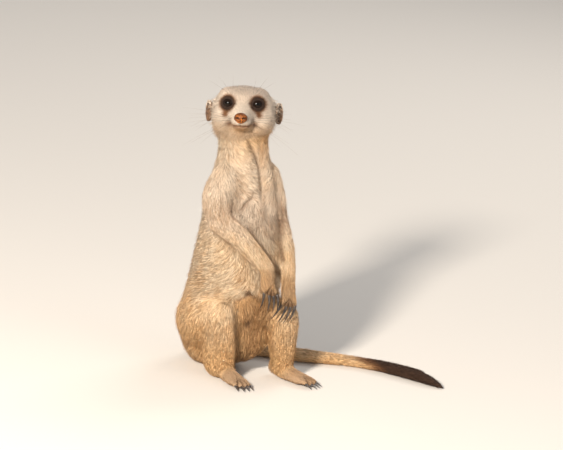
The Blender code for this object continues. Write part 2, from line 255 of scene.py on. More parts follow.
# %% Join the flesh into one skin
FLESH = ["trunk", "neck", "head", "tail_base", "tail_middle", "tail_tip"]
for part in ("upper_arm", "forearm", "hand", "thigh", "shank", "foot"):
    FLESH += [f"{part}_{side}" for side in SIDES]
SWELL = 0.4
SKIN_VOXEL = 1.6
SOFTEN = 0.5  # how much of its own place a vertex keeps when the skin is smoothed


def joined_flesh(names):
    """Copies of the nodes in one mesh, each swollen a little along its normals."""
    whole = bmesh.new()
    for name in names:
        part = bmesh.new()
        part.from_mesh(nodes[name].data)
        bmesh.ops.remove_doubles(part, verts=part.verts, dist=WELD)
        part.normal_update()
        moves = [v.normal * SWELL * MM for v in part.verts]
        for vertex, by in zip(part.verts, moves):
            vertex.co += by
        mesh = bpy.data.meshes.new(name + "_swollen")
        part.to_mesh(mesh)
        part.free()
        whole.from_mesh(mesh)
        bpy.data.meshes.remove(mesh)
    mesh = bpy.data.meshes.new("skin")
    whole.to_mesh(mesh)
    whole.free()
    return mesh


skin = new_object("skin", joined_flesh([*FLESH, "eye_left", "eye_right", "nose"]))
remesh = skin.modifiers.new("unite", "REMESH")
remesh.mode = "VOXEL"
remesh.voxel_size = SKIN_VOXEL * MM
applied(skin)
put_places(skin.data, spread(places_of(skin.data), edges_of(skin.data), 3, SOFTEN))


def is_fine(places):
    """Where the skin is divided once more: the head, the hands and the feet."""
    head, body = in_head(places), in_body(places)
    on_face = (far_from(head, (-2, 0, -8)) < 31) & (head[:, 0] > -16)
    hands = (body[:, 0] > 48) & (body[:, 2] > 60) & (body[:, 2] < 103)
    feet = (body[:, 2] < 13) & (body[:, 0] > 20)
    return on_face | hands | feet


def divide(mesh, chosen):
    """Cuts the chosen faces into four."""
    bm = bmesh.new()
    bm.from_mesh(mesh)
    bm.faces.ensure_lookup_table()
    edges = {edge for k in np.flatnonzero(chosen) for edge in bm.faces[k].edges}
    bmesh.ops.subdivide_edges(bm, edges=list(edges), cuts=1, use_grid_fill=True)
    bm.to_mesh(mesh)
    bm.free()


divide(skin.data, is_fine(read(skin.data.polygons, "center", 3).astype(float) / MM))
skin_edges = edges_of(skin.data)
outline = spread(places_of(skin.data), skin_edges, 2, SOFTEN)
put_places(skin.data, outline)
print("skin:", len(outline), "vertices,", triangles_in(skin.data), "triangles")

# %% [markdown]
# ## Which way each part runs
# Hair lies along the limb that it grows on, towards its far end. Each part of the body
# gets a line of stations through its middle, with the radius there. For any place on the
# skin a line then tells how near it is, how far along the limb, and which way it runs.

# %% Lines through the parts
LINES = {
    # each station: forward, left and up in the body's frame, and the radius there
    "trunk": [(-2, -2, 199, 24), (-1, 0, 182, 28), (0, 0, 160, 32), (2, 2, 120, 39),
              (1.5, 2.5, 78, 43), (-4, 1, 45, 41), (-14, 0, 12, 30)],
    "neck": [(3, -8.5, 240, 24), (-1, -6, 222, 24), (-2, -2, 199, 24), (-1, 0, 182, 27)],
    "arm_left": [(3, 21, 178, 16), (9, 28, 160, 13), (22, 28, 140, 10), (38, 27.5, 117, 9),
                 (57, 19.5, 93, 6.7), (60.5, 19, 79, 6), (61.5, 19, 66, 5)],
    "thigh_left": [(-22, 22, 62, 22), (-6, 25, 52, 24), (14, 29, 48, 20), (42, 30, 56, 13)],
    "shank_left": [(47, 30, 60, 12), (47, 30, 36, 13), (48, 31, 12, 10.5), (42, 30, 7, 8)],
    "foot_left": [(40, 29.5, 8, 6), (57, 33, 6.5, 7), (71, 37, 5, 7), (88, 42, 3.5, 6)],
    "arm_right": [(3, -21, 178, 16), (6.5, -31.5, 160, 15.5), (15, -34, 143, 12),
                  (35, -23, 130, 10.5), (54, -4.5, 107, 7), (56.5, -3, 90, 6), (59, 0, 77, 5)],
    "thigh_right": [(-22, -22, 62, 22), (-6, -26, 54, 24), (8, -31, 50, 21), (28, -34, 58, 14)],
    "shank_right": [(31, -34, 60, 13), (27, -29, 36, 15), (28, -26, 12, 14), (26, -25, 6, 10)],
    "foot_right": [(24, -24, 8, 6), (43, -26, 6.5, 7), (57, -27.5, 5, 7), (75, -29.5, 3.5, 6)],
}
TAIL_LINE = [(-40, 68, 20, 10.5), (-34, 79, 9.5, 9.7), (-8, 87, 8, 8.5), (25, 85, 6.8, 7.4),
             (52, 83, 6.4, 6.9), (91, 88, 5.4, 5.8), (123, 84, 5.4, 5.8),
             (156, 68, 5.8, 6.3), (173, 57, 4.2, 4.7), (186, 48.5, 1.6, 3)]


def on_line(places, stations):
    """Distance in radii, share of the length, and direction, for a line of stations."""
    stations = np.array(stations, float)
    middles, radii = stations[:, :3], stations[:, 3]
    away, station = near_line(places, middles, radii)
    gaps = np.linalg.norm(np.diff(middles, axis=0), axis=1)
    reached = np.concatenate(((0,), np.cumsum(gaps))) / gaps.sum()
    columns = (reached, *unit(np.gradient(middles, axis=0)).T)
    share, *way = (np.interp(station, range(len(middles)), column) for column in columns)
    return away, share, unit(np.stack(way, axis=1))


print("the lines have", sum(len(line) for line in (*LINES.values(), TAIL_LINE)), "stations")

# %% [markdown]
# ## Sharing the skin among the parts
# A vertex near two lines belongs a little to both, by how near each is in radii. That
# keeps the coat's measures from jumping at a shoulder or a knee. The skull is a plain
# egg in place of a line, and it takes its share of the skin first.

# %% Each part's share of the skin
body_places = in_body(outline)
head_places = in_head(outline)
design_places = outline - SHIFT
lines = {}
for name, stations in LINES.items():
    away, share, way = on_line(body_places, stations)
    lines[name] = (away, share, way @ BODY.T)
lines["tail"] = on_line(design_places, TAIL_LINE)
above_neck = (body_places - (0, -6, 227)) @ unit(np.array((0.1, -0.45, 1.0)))
skull_away = far_from(head_places, (-8, 0, -9), (30, 30, 22))
in_skull = ramp(above_neck, -5, 3) * ramp(skull_away, 1.7, 1.3)
# The head has no direction here: its hair streams from the nose, further below.
lines["head"] = (2 - 1.4 * in_skull, np.zeros(len(outline)), np.zeros_like(outline))

BLEND_WITHIN = 0.16
nearness = np.array([line[0] for line in lines.values()])
shares = np.exp(-(nearness - nearness.min(0)) / BLEND_WITHIN)
shares[-1] = 0
shares *= (1 - in_skull) / np.maximum(shares.sum(0), 1e-9)
shares[-1] = in_skull
part_of = dict(zip(lines, (spread(share, skin_edges, 4) for share in shares)))
home = np.array(list(lines))[np.argmax(shares, axis=0)]
for name in lines:
    print(f"{name:12} {int((home == name).sum()):6} vertices")

# %% [markdown]
# ## Depth, length, density and width of the coat
# The skin has to lie under the coat by the coat's own depth: deep on the flanks and
# haunches, a velvet of less than a millimetre on the face, hands and feet. One table
# holds the four measures for every part, at its near and far end.

# %% Measures of the coat
COAT = {
    # part: (depth, length, hairs per mm2, width) at the near end, then at the far end
    "head": ((1.0, 3.0, 3.6, 0.34), (1.0, 3.0, 3.6, 0.34)),
    "neck": ((2.2, 8.5, 2.8, 0.38), (2.6, 11.0, 2.1, 0.42)),
    "trunk": ((2.6, 12.5, 1.75, 0.44), (3.2, 16.0, 1.25, 0.50)),
    "arm": ((2.6, 9.5, 2.4, 0.42), (0.6, 1.8, 3.6, 0.34)),
    "thigh": ((3.2, 16.0, 1.6, 0.49), (2.6, 13.0, 1.8, 0.45)),
    "shank": ((2.4, 12.0, 2.0, 0.45), (1.8, 7.5, 2.6, 0.40)),
    "foot": ((1.0, 3.0, 2.8, 0.38), (0.6, 1.7, 3.4, 0.32)),
    "tail": ((2.2, 8.0, 1.5, 0.50), (1.6, 8.0, 1.8, 0.46)),
}


def coat_measure(column):
    """One column of the table as a field over the skin."""
    field = np.zeros(len(outline))
    for name, (_, share, _) in lines.items():
        near, far = COAT[name.split("_")[0]]
        field += part_of[name] * (near[column] + share * (far[column] - near[column]))
    return field


depth, length, density, width = (coat_measure(k) for k in range(4))
ahead = head_places[:, 0]
aside = np.abs(head_places[:, 1])
above = head_places[:, 2]
from_nose = far_from(head_places, (22, 0, -14))
head_share = part_of["head"]

# The face: a velvet at the muzzle that grows to a ruff on the cheeks and behind the ears.
ruff = ramp(aside, 15, 23) * ramp(above, 7, -1) * ramp(ahead, 4, -8)
nape = ramp(ahead, -16, -26)
face_length = 1.15 + 2.0 * ramp(from_nose, 6, 34) + 5.4 * ruff + 2.6 * nape
face_length += 1.4 * ramp(above, 6, 14) * ramp(ahead, 0, -12)
# A tuft in front of the top of each ear, that bridges the head and the ear.
temple = ramp(aside, 19, 25) * ramp(np.abs(above - 0.5), 9, 3) * ramp(np.abs(ahead + 21), 14, 7)
face_length += 3.0 * temple
# The cheek's own fringe, that falls back over the front of the ear.
fringe = ramp(aside, 19, 24) * ramp(np.abs(above + 8), 14, 8) * ramp(np.abs(ahead + 14), 9, 4)
face_length += 1.5 * fringe
length = length + head_share * (face_length - 3.0)
depth = depth + head_share * (0.30 * face_length - 0.9)
width = width + head_share * (0.25 + 0.035 * face_length - 0.34)
density = density + head_share * (1.9 * ramp(from_nose, 40, 10) - 0.1)
depth = np.clip(spread(depth, skin_edges, 12), 0.45, None)
length = np.clip(spread(length, skin_edges, 6), 0.9, None)
print("coat depth", depth.min().round(2), "to", depth.max().round(2), "mm;",
      "length", length.min().round(2), "to", length.max().round(2), "mm")

# %% [markdown]
# ## Eyelids
# Real lids are skin that slides over a ball, so they keep one thickness all round. Here
# the skin near an eye is drawn to just outside the eyeball, and the opening is an oval
# with a corner on either side. Inside it the skin drops behind the ball, out of sight.

# %% Shape the lids
GAZE_OUT = math.radians(13)
GAZE_UP = math.radians(2)
LID_OPENING = (46.0, 37.0)  # half the opening of the lids, across and up, in degrees
LID_THICKNESS = 0.55
LID_RIDGE = 0.35
EYE_BALL = 5.35
BEHIND_BALL = 0.9  # how far inside the ball's surface the unseen skin drops


def eye_frame(side):
    """Columns: across (away from the nose), up and out along the gaze."""
    turned = math.copysign(GAZE_OUT, side)
    gaze = np.array((math.cos(turned), math.sin(turned), math.tan(GAZE_UP)))
    gaze = unit(HEAD @ gaze)
    across = unit(np.cross(HEAD[:, 2], gaze)) * side
    up = unit(HEAD[:, 2] - gaze * (HEAD[:, 2] @ gaze))
    return np.stack((across, up, gaze), axis=1)


EYES = {name: (middle_of(f"eye_{name}"), eye_frame(side)) for name, side in SIDES.items()}


def lid_angle(turn):
    """The opening's half angle, in degrees; turn 0 points away from the nose."""
    across, up = LID_OPENING
    oval = across * up / np.hypot(up * np.cos(turn), across * np.sin(turn))
    to_nose = np.abs(np.angle(np.exp(1j * (turn - math.radians(197)))))
    to_ear = np.abs(np.angle(np.exp(1j * (turn - math.radians(2)))))
    return oval + 7 * np.exp(-(to_nose / 0.28) ** 2) + 4 * np.exp(-(to_ear / 0.3) ** 2)


def shape_lids(places):
    """Wraps the skin round the eyeballs. Returns the places and how open each one is."""
    opened = np.full(len(places), FAR)
    for middle, turn in EYES.values():
        local = (places - middle) @ turn
        away = np.linalg.norm(local, axis=1)
        angle = np.degrees(np.arctan2(np.hypot(local[:, 0], local[:, 1]), local[:, 2]))
        opening = lid_angle(np.arctan2(local[:, 1], local[:, 0]))
        ratio = angle / opening
        close = (away < 15) & (angle < 130)
        lid = EYE_BALL + LID_THICKNESS + LID_RIDGE * np.exp(-((ratio - 1.3) / 0.16) ** 2)
        lid = np.where(ratio < 1, EYE_BALL - BEHIND_BALL, lid)
        held = ramp(angle - opening, 42, 9) * ramp(away, 12.5, 8)
        wanted = away + held * (lid - away)
        wanted = np.where(close, wanted, away)
        places = middle + local * (wanted / np.maximum(away, 1e-6))[:, None] @ turn.T
        opened = np.where(close & (away < 11), np.minimum(opened, ratio), opened)
    return places, opened


print("half the lids' opening:", np.round(lid_angle(np.radians((0, 90, 180, 270)))), "degrees")

# %% [markdown]
# ## The mouth and the folds of the coat
# The skin first goes in by the coat's depth. Then come the lines that a thumb would
# press into clay: the mouth, the groove under the nose, and the creases of throat, arms
# and groin. Each is a bent line with a width and a depth, so nothing has to be sculpted
# by hand. Along the body's creases the coat also gets painted shade.

# %% Sink the skin and press the folds
FACE_LINES = {
    # line through the head frame: (half width of the groove, depth, how dark)
    "mouth": ([(3.5, -11.0, -18.9), (9, -9.6, -19.6), (14.6, -7.2, -20.4), (17.6, -3.6, -20.7),
               (19.0, 0, -20.6), (17.6, 3.6, -20.7), (14.6, 7.2, -20.4), (9, 9.6, -19.6),
               (3.5, 11.0, -18.9)], 0.9, 1.1, 1.0),
    "philtrum": ([(22.5, 0, -17.5), (21.3, 0, -19), (19.0, 0, -20.6)], 0.7, 0.6, 0.7),
    "stop_left": ([(4, 6.8, -4), (9, 7.2, -8), (14, 7.4, -12)], 2.2, 0.35, 0.0),
    "stop_right": ([(4, -6.8, -4), (9, -7.2, -8), (14, -7.4, -12)], 2.2, 0.35, 0.0),
}
BODY_FOLDS = {
    # line on the body, in its frame: (half width, depth, how dark the painted shade along it is)
    "throat": ([(17, -20, 221), (18.6, -15, 215), (19.3, -9.9, 208), (21.1, -5.9, 201.6),
                (23.5, -3.2, 194.7), (26.2, -1.8, 186), (28.2, -2.4, 179), (30.1, -1.8, 173),
                (31.9, 1.1, 167)], 1.2, 2.0, 1.0),
    "arm_right": ([(27.3, -20.5, 152), (27.3, -18.9, 157.8), (28, -16.6, 161.5),
                   (29, -13.5, 165.3), (30, -9.9, 167.2)], 1.0, 1.6, 0.9),
    "arm_left": ([(28.5, 21.5, 150), (31, 22, 141), (34.6, 20.5, 131), (39, 19, 121)],
                 1.2, 1.8, 0.95),
    "groin_right": ([(35.2, -23.7, 71), (39.2, -18.2, 74.6), (42.2, -13, 78), (44, -8, 81)],
                    1.3, 1.4, 0.9),
    "under_forearm": ([(20.7, -30.6, 125.2), (30, -31.5, 125.5), (37.5, -31.1, 125.3),
                       (44.7, -23, 116.5), (51.7, -14.6, 107.7)], 1.3, 0.8, 0.5),
    "over_forearm": ([(29.4, -19.1, 148.2), (35.5, -12.2, 138.3), (40.3, -2.8, 126.9),
                      (42.5, 8.8, 113.7)], 1.1, 1.2, 0.7),
    "inner_arm": ([(28.4, 24, 148), (32.8, 22.9, 139.9), (36.1, 21.6, 131.6), (39.4, 20.2, 123.3),
                   (44.3, 18.7, 115.4), (48.3, 17.5, 110.1)], 1.6, 1.2, 0.95),
    "groin_left": ([(34, 27, 71), (39, 22, 74.6), (42.5, 18, 78)], 1.8, 1.2, 0.45),
}
normals = normals_of(skin.data)
sunk = outline - normals * depth[:, None]
sunk = spread(sunk, skin_edges, 2, keep=0.6)
head_places = in_head(sunk)
creased = np.zeros(len(sunk))
press = np.zeros(len(sunk))
for line, half_width, groove, dark in FACE_LINES.values():
    near = np.exp(-(near_line(head_places, line)[0] / half_width) ** 2)
    press = np.maximum(press, groove * near)
    creased = np.maximum(creased, near * dark)
body_places = in_body(sunk)
# Painted shade along the body's creases: this mask darkens them through the brown and black marks,
# and thins the hair there.
fold_shade = np.zeros(len(sunk))
by_fold, fold_away = np.zeros(len(sunk)), np.full(len(sunk), FAR)
for line, half_width, groove, dark in BODY_FOLDS.values():
    away, station = near_line(in_body(outline), line)
    share = station / (len(line) - 1)
    ends = ramp(share, -0.02, 0.1) * ramp(share, 1.02, 0.9)
    near = np.exp(-(away / half_width) ** 2) * ends
    press = np.maximum(press, groove * np.exp(-(away / (2 * half_width)) ** 2) * ends)
    fold_shade = np.maximum(fold_shade, near * dark)
    by_fold = np.maximum(by_fold, ramp(away, 5, 1.5) * ends * dark)
    fold_away = np.minimum(fold_away, away + 30 * (1 - ends * (dark > 0.8)))
# The front edges of the arms, where they lie against the chest and belly, are pressed in and get
# painted shade.
for side in SIDES:
    share = part_of[f"arm_{side}"]
    seam = ramp(share, 0.34, 0.5) * ramp(share, 0.66, 0.5)
    seam *= ramp(body_places[:, 2], 104, 112) * ramp(body_places[:, 2], 166, 156)
    seam *= ramp(body_places[:, 0], 12, 20)
    press = np.maximum(press, 0.9 * seam)
    fold_shade = np.maximum(fold_shade, 0.65 * seam)
print("folds and seams:", int((fold_shade > 0.3).sum()), "vertices, mouth:",
      int((creased > 0.3).sum()))

# %% [markdown]
# ## Fingers and toes
# The hands and feet are smooth mitts so far. A groove runs back from between each two
# claws and fades before the wrist or heel, which is how short-haired digits read from a
# little way off. The roots of the CAD's claws give the places.

# %% Grooves between the digits
def claw_line(node):
    """The middles of a CAD claw's rings from root to tip, and the radius of each."""
    bm = bmesh.new()
    bm.from_mesh(nodes[node].data)
    bmesh.ops.remove_doubles(bm, verts=bm.verts, dist=WELD)
    places = np.array([v.co for v in bm.verts]) / MM
    bm.free()
    middle = places.mean(0)
    axis = np.linalg.svd(places - middle)[2][0]
    along = (places - middle) @ axis
    rings = places[np.argsort(along)].reshape(4, -1, 3)
    middles = rings.mean(1)
    radii = np.linalg.norm(rings - middles[:, None], axis=2).mean(1)
    if radii[0] < radii[-1]:
        middles, radii = middles[::-1], radii[::-1]
    return middles, radii


# The same mask darkens the grooves through the brown and black marks: painted shade between the
# digits.
between_digits, from_claws = np.zeros(len(sunk)), np.full(len(sunk), FAR)
for side in SIDES:
    for kind, part, reach in (("fore", "arm", 9.0), ("hind", "foot", 11.0)):
        wrist, tip = np.array(LINES[f"{part}_{side}"])[-2:, :3]
        back = BODY @ unit(wrist - tip)
        roots = [claw_line(f"claw_{kind}_{side}_{k}")[0][0] for k in DIGITS]
        for first, second in zip(roots, roots[1:]):
            offset = sunk - (first + second) / 2
            behind = offset @ back
            across = offset @ unit(second - first)
            near = np.exp(-(across / 0.8) ** 2) * ramp(behind, reach, 0.5 * reach)
            away = np.linalg.norm(offset, axis=1)
            near *= away < reach + 2
            between_digits = np.maximum(between_digits, near)
            from_claws = np.minimum(from_claws, away)
# The grooves, and a seat for the nose pad, are pressed in together.
DIGIT_GROOVE, PAD_SEAT, LOWEST_SKIN = 1.3, 3.2, 0.35
under_pad = far_from(head_places, (22.6, 0, -13.2), (4.6, 5.6, 4.6))
press = np.maximum(press, DIGIT_GROOVE * between_digits)
press = np.maximum(press, PAD_SEAT * ramp(under_pad, 1.15, 0.85))
sunk, lid_ratio = shape_lids(sunk - normals * press[:, None])
sunk[:, 2] = np.maximum(sunk[:, 2], LOWEST_SKIN)
put_places(skin.data, sunk)
normals = normals_of(skin.data)
print("the deepest groove is", press.max().round(2), "mm;",
      int((lid_ratio < 1).sum()), "vertices lie behind the eyeballs")

# %% [markdown]
# ## The lie of the coat
# On the head hair streams back from the nose. On the chest and flanks it runs down and
# away from the midline, on the haunch down and then round to the knee, and on the limbs
# and tail towards the tip. The arrows are averaged over the skin and kept flat on it, so
# the streams meet in soft partings, and a slow wobble keeps them from looking ruled.

# %% Comb the skin
head_places, body_places = in_head(sunk), in_body(sunk)
head_x, head_y, head_z = head_places.T  # forward, left and up
body_x, body_y, height = body_places.T
comb = np.zeros_like(sunk)
for name, (_, _, way) in lines.items():
    comb += part_of[name][:, None] * way

# Chest and throat: the two sides meet in a parting. Flanks: down and back.
turn = np.arctan2(body_y, body_x + 2)
side_of = np.tanh(turn / 0.12)[:, None]
round_body = np.stack((-np.sin(turn), np.cos(turn), np.zeros_like(turn)), axis=1) * side_of
angle = np.degrees(np.abs(turn))
inwards = ramp(angle, 95, 60) * ramp(height, 154, 168) * (0.9 + 1.3 * ramp(height, 218, 196))
belly_fan = 1.5 * np.exp(-((height - 86) / 9) ** 2) * ramp(angle, 5, 25)
outwards = 0.40 + 0.85 * ramp(angle, 15, 50)
outwards *= ramp(height, 176, 150) * ramp(height, 70, 82)
outwards += ramp(angle, 55, 90) * 0.5 + belly_fan
outwards *= 1 - 0.7 * ramp(angle, 95, 150)
torso = part_of["trunk"] + 1.3 * part_of["neck"]
comb += (torso * (outwards - inwards))[:, None] * (round_body @ BODY.T)

# Haunches and lap: all fans out and down from the groin, where flank and thigh meet.
for side, (across, low) in {"left": (24, 74), "right": (-20, 76)}.items():
    from_groin = sunk - on_body(38, across, low)
    far = np.linalg.norm(from_groin, axis=1)
    own_side = ramp(body_y * np.sign(across), -3, 3)
    share = part_of[f"thigh_{side}"] + part_of["trunk"] * own_side * ramp(height, 80, 70)
    share *= ramp(far, 75, 55) * ramp(angle, 150, 110)
    comb += (2.2 * share)[:, None] * unit(from_groin)
    comb[:, 2] -= 0.7 * share + 0.6 * part_of[f"thigh_{side}"] + 0.5 * part_of[f"shank_{side}"]

# Head: away from the nose, more backwards on the crown and more downwards on the cheeks.
stream = unit(head_places - (20, 0, -12))
stream[:, 0] -= 0.55
stream[:, 2] -= 0.35 * ramp(np.abs(head_y), 10, 24) + 0.3 * ramp(above, -10, -22)
stream[:, 1] *= 1.25 + 1.6 * ramp(np.abs(head_y), 12, 22) * ramp(above, -22, -14)
stream[:, 1] += 2.0 * np.sign(head_y) * temple
comb += head_share[:, None] * 1.2 * (unit(stream) @ HEAD.T)
comb = unit(tangent(comb, normals))
for _ in range(8):
    comb = unit(tangent(spread(comb, skin_edges, 3, keep=0.3), normals))
print("the comb's arrows are flat on the skin within",
      np.abs((comb * normals).sum(1)).max().round(3))

# %% [markdown]
# ## Where the markings lie
# A meerkat has dark patches round the eyes, a brown muzzle line, faint bands across the
# back and a dark tip to its tail. Each gets a mask, a number from 0 to 1 for each vertex,
# measured in the same frames as the shape, so the marks sit where the features are.

# %% Masks for the markings
turn = np.abs(turn)
thighs = part_of["thigh_left"] + part_of["thigh_right"]
back = part_of["trunk"] + 0.8 * part_of["neck"] + 0.4 * thighs
back *= ramp(turn, math.radians(112), math.radians(150))
limb = sum(part_of[f"{part}_{side}"] for part in ("arm", "thigh", "shank") for side in SIDES)
paw = sum(part_of[f"foot_{side}"] for side in SIDES)

patch, patch_edge = np.zeros(len(sunk)), np.zeros(len(sunk))
for middle, eye_turn in EYES.values():
    local = (sunk - middle) @ eye_turn
    facing = ramp(local[:, 2], -3.5, -0.5)
    egg = np.hypot(local[:, 0] / 7.6, local[:, 1] / np.where(local[:, 1] > 0, 7.2, 8.0))
    tear = near_line(local[:, :2], [(0.2, -3.5), (0.9, -10.0)])[0]
    dark = np.maximum(0.93 * ramp(egg, 1.02, 0.80), 0.4 * ramp(tear, 3.0, 1.0))
    rim = np.maximum(ramp(egg, 1.18, 0.92), ramp(tear, 3.8, 1.6))
    patch = np.maximum(patch, facing * dark)
    patch_edge = np.maximum(patch_edge, facing * rim)

mouth_away = near_line(head_places, FACE_LINES["mouth"][0])[0]
mouth_brown = np.maximum(ramp(mouth_away, 2.6, 1.0), 0.6 * ramp(mouth_away, 4.6, 2.0))
chin = np.exp(-far_from(head_places, (11.5, 0, -24), (11, 8.5, 5.5)) ** 2)
crown = ramp(head_z, 4, 10) * ramp(head_x, 2, -7)
behind_head = ramp(head_x, -12, -24)
# The belly and the inner legs are painted darker and warmer: partly the thin-haired belly's own tone,
# partly painted shade between the thighs.
belly_top = 71 + 0.62 * np.clip(body_y + 23.7, 0, 21)
belly = ramp(turn, 1.25, 0.9) * ramp(belly_top - height, -2, 4) * part_of["trunk"]
belly *= ramp(body_y + 24 - 0.42 * np.clip(71 - height, 0, 50), -3, 3)
inner_leg = ramp(np.abs(body_y), 24, 15) * ramp(height, 70, 50)
inner_leg *= ramp(body_x, 8, 20)
lap_tuft = ramp(far_from(body_places, (34, 20, 8), (14, 12, 12)), 1.2, 0.7)
bands = np.sin(height * 2 * math.pi / 17 + 1.2 * np.cos(turn) + 0.8 * np.sin(0.11 * height))
bands = ramp(bands, 0.0, 0.9)
bands *= back * ramp(height, 22, 40) * ramp(height, 168, 150)
tail_top = ramp(design_places[:, 2], 4, 11)
tail_dark = ramp(design_places[:, 0] + 11 * tail_top, 112, 132)
tail_brown = ramp(design_places[:, 0] + 14 * tail_top, 98, 124)
teats, by_teat = np.zeros(len(sunk)), np.zeros(len(sunk))
for place in ((43, -10.8, 81.7), (43, 15, 80), (40.7, -6.8, 51.7)):
    away = far_from(in_body(outline), place)
    teats = np.maximum(teats, ramp(away, 5.4, 2.6))
    by_teat = np.maximum(by_teat, ramp(away, 13, 5))

print("dark round the eyes:", int((patch > 0.5).sum()), "vertices; bands:",
      int((bands > 0.5).sum()))

# %% [markdown]
# ## Mixing the marks
# Five masks say how pale, golden, grey, brown or black each place is. They are written
# on the skin, and every hair takes the values of the place it grows from, so skin and
# coat can't disagree.

# %% Five marks on the skin
hands = part_of["arm_left"] + part_of["arm_right"]
fingers = hands * ramp(from_claws, 7.5, 2.5)
# Painted shade: a dark strip down the shaded inner side of the right forearm.
shadow_strip_line = [(52, 3, 118), (58, 4, 104), (60, 5, 86)]
shadow_strip = part_of["arm_right"] * ramp(near_line(body_places, shadow_strip_line)[0], 5.5, 3.0)
hand_tint = hands * ramp(from_claws, 34, 15)

face = head_share * (1 - 0.75 * behind_head)
# Under the cheeks the coat is warmer and less pale: partly its own tone, partly painted shade beneath
# the cheeks.
low_cheek = ramp(head_z, -14, -24) * ramp(head_x, 16, 8)
throat = part_of["neck"] * ramp(turn, 1.5, 0.7) * ramp(height, 186, 208)
pale = face * (1 - 0.35 * crown) * (1 - 0.55 * low_cheek) * (1 - 0.9 * chin)
pale = np.maximum(pale, 0.45 * part_of["neck"] * ramp(turn, 2.2, 1.2) * (1 - 0.9 * throat))
# The upper front of the trunk is darker than cream: partly its own greyish tone, partly painted shade
# on the side that faces the key light.
pale = np.maximum(pale, 0.35 * part_of["trunk"] * ramp(turn, 2.0, 1.2) * ramp(height, 120, 170))
pale = np.maximum(pale, 0.9 * lap_tuft * (1 - limb))
golden = 0.34 * limb * ramp(height, 190, 150) + 0.5 * paw
golden += 0.9 * part_of["tail"] * (1 - tail_top * 0.3)
golden += 0.38 * thighs + 0.4 * hand_tint + 0.4 * low_cheek * head_share
golden += 0.6 * ramp(height, 62, 22) * (part_of["trunk"] + limb) + 1.3 * chin * head_share
golden += 0.25 * part_of["trunk"] * ramp(height, 130, 60) + 0.8 * belly + 0.9 * throat
grey = 0.8 * head_share * crown + 0.6 * back + 0.35 * head_share * behind_head + 0.1 * paw
# The chest is greyer: partly its own tone, partly painted shade where it faces the key light.
chest = part_of["trunk"] * ramp(turn, 2.2, 1.3)
grey += 0.6 * (chest + hands) * ramp(height, 118, 150) * ramp(height, 226, 205)
# Brown and black also carry painted shade: in the folds and seams, in the grooves between the digits
# and in the strip on the right forearm.
brown = np.maximum.reduce((
    patch_edge, 0.92 * mouth_brown * head_share, 0.60 * chin * head_share,
    0.50 * belly * (1 - lap_tuft), 0.25 * inner_leg * (1 - lap_tuft), 0.50 * bands,
    tail_brown * part_of["tail"], 0.9 * teats, 0.95 * fold_shade, 0.75 * fingers,
    0.44 * hand_tint, 0.52 * paw, 0.25 * low_cheek * head_share, between_digits,
    0.14 * head_share * ramp(head_z, -4, 3) * ramp(head_x, -4, 4),
))
black = np.maximum.reduce((
    patch, 0.86 * tail_dark * part_of["tail"], 0.8 * ramp(lid_ratio, 1.5, 1.1),
    0.5 * ramp(creased, 0.35, 0.9), 0.5 * teats, 0.75 * ramp(fold_shade, 0.5, 0.95),
    0.40 * fingers, 0.75 * between_digits, 0.6 * shadow_strip,
))
MARKS = {"pale": pale, "golden": golden, "grey": grey, "brown": brown, "black": black}
for name, mask in MARKS.items():
    write(skin.data, name, np.clip(spread(mask, skin_edges, 1), 0, 1))
skin.data.shade_smooth()
print({name: round(float(mask.max()), 2) for name, mask in MARKS.items()})

# %% [markdown]
# ## Where the coat is short or thin
# Lids, lips and the skin under the nose pad are bare. Hair is thin on the belly and round
# the teats, short beside the eyes and folds, and longer hair never hides a crease.

# %% Thin and shorten the coat
HAIRLESS_BELOW = 0.6  # the soles and the seat, where they rest on the floor
nose_gap = far_from(head_places, (22.8, 0, -13.2), (4.9, 6.1, 5.0))
bare = ramp(lid_ratio, 1.30, 1.12) + ramp(nose_gap, 1.05, 0.98) + 0.9 * ramp(creased, 0.6, 0.95)
density *= np.clip(1 - bare, 0, 1) * (1 - 0.45 * belly) * (1 - 0.6 * teats)
density *= 1 - 0.9 * ramp(between_digits, 0.35, 0.8)
density *= (1 - 0.85 * ramp(fold_shade, 0.45, 0.8)) * (1 + 0.6 * by_fold)
density[sunk[:, 2] < HAIRLESS_BELOW] = 0
near_eye = ramp(lid_ratio, 2.6, 1.2)
length *= (1 - 0.45 * near_eye) * (1 - 0.6 * by_fold) * (1 - 0.35 * belly)
length *= 1 - 0.55 * by_teat
length = np.minimum(length, 0.9 + fold_away)
width *= 1 - 0.2 * near_eye
print("hair length", length.min().round(2), "to", length.max().round(2), "mm;",
      int((density < 0.05).sum()), "vertices are bare")

# %% [markdown]
# ## An unwrap of the skin
# Baking needs one flat map. Blender's smart projection lays the skin out by its own
# shape, and each hair will later take a tiny patch of this map, at its root.

# %% Unwrap the skin
MAP_NAME = "OFBake"


def unwrap(obj):
    """Lays an object's faces out on the map that the baking reads."""
    bpy.ops.object.select_all(action="DESELECT")
    bpy.context.view_layer.objects.active = obj
    obj.select_set(True)
    obj.data.uv_layers.new(name=MAP_NAME)
    bpy.ops.object.mode_set(mode="EDIT")
    bpy.ops.mesh.select_all(action="SELECT")
    bpy.ops.uv.smart_project(angle_limit=math.radians(66), island_margin=0.003)
    bpy.ops.object.mode_set(mode="OBJECT")


unwrap(skin)
print("the skin's map has", len(skin.data.uv_layers[MAP_NAME].uv), "corners")

# %% [markdown]
# ## Writing node trees as arithmetic
# Shaders and geometry trees are easier to read as sums than as boxes and wires. A
# `Value` wraps an output socket and knows how to be added, scaled and compared; a
# `Graph` puts in any other node from its type, its settings and its sockets.

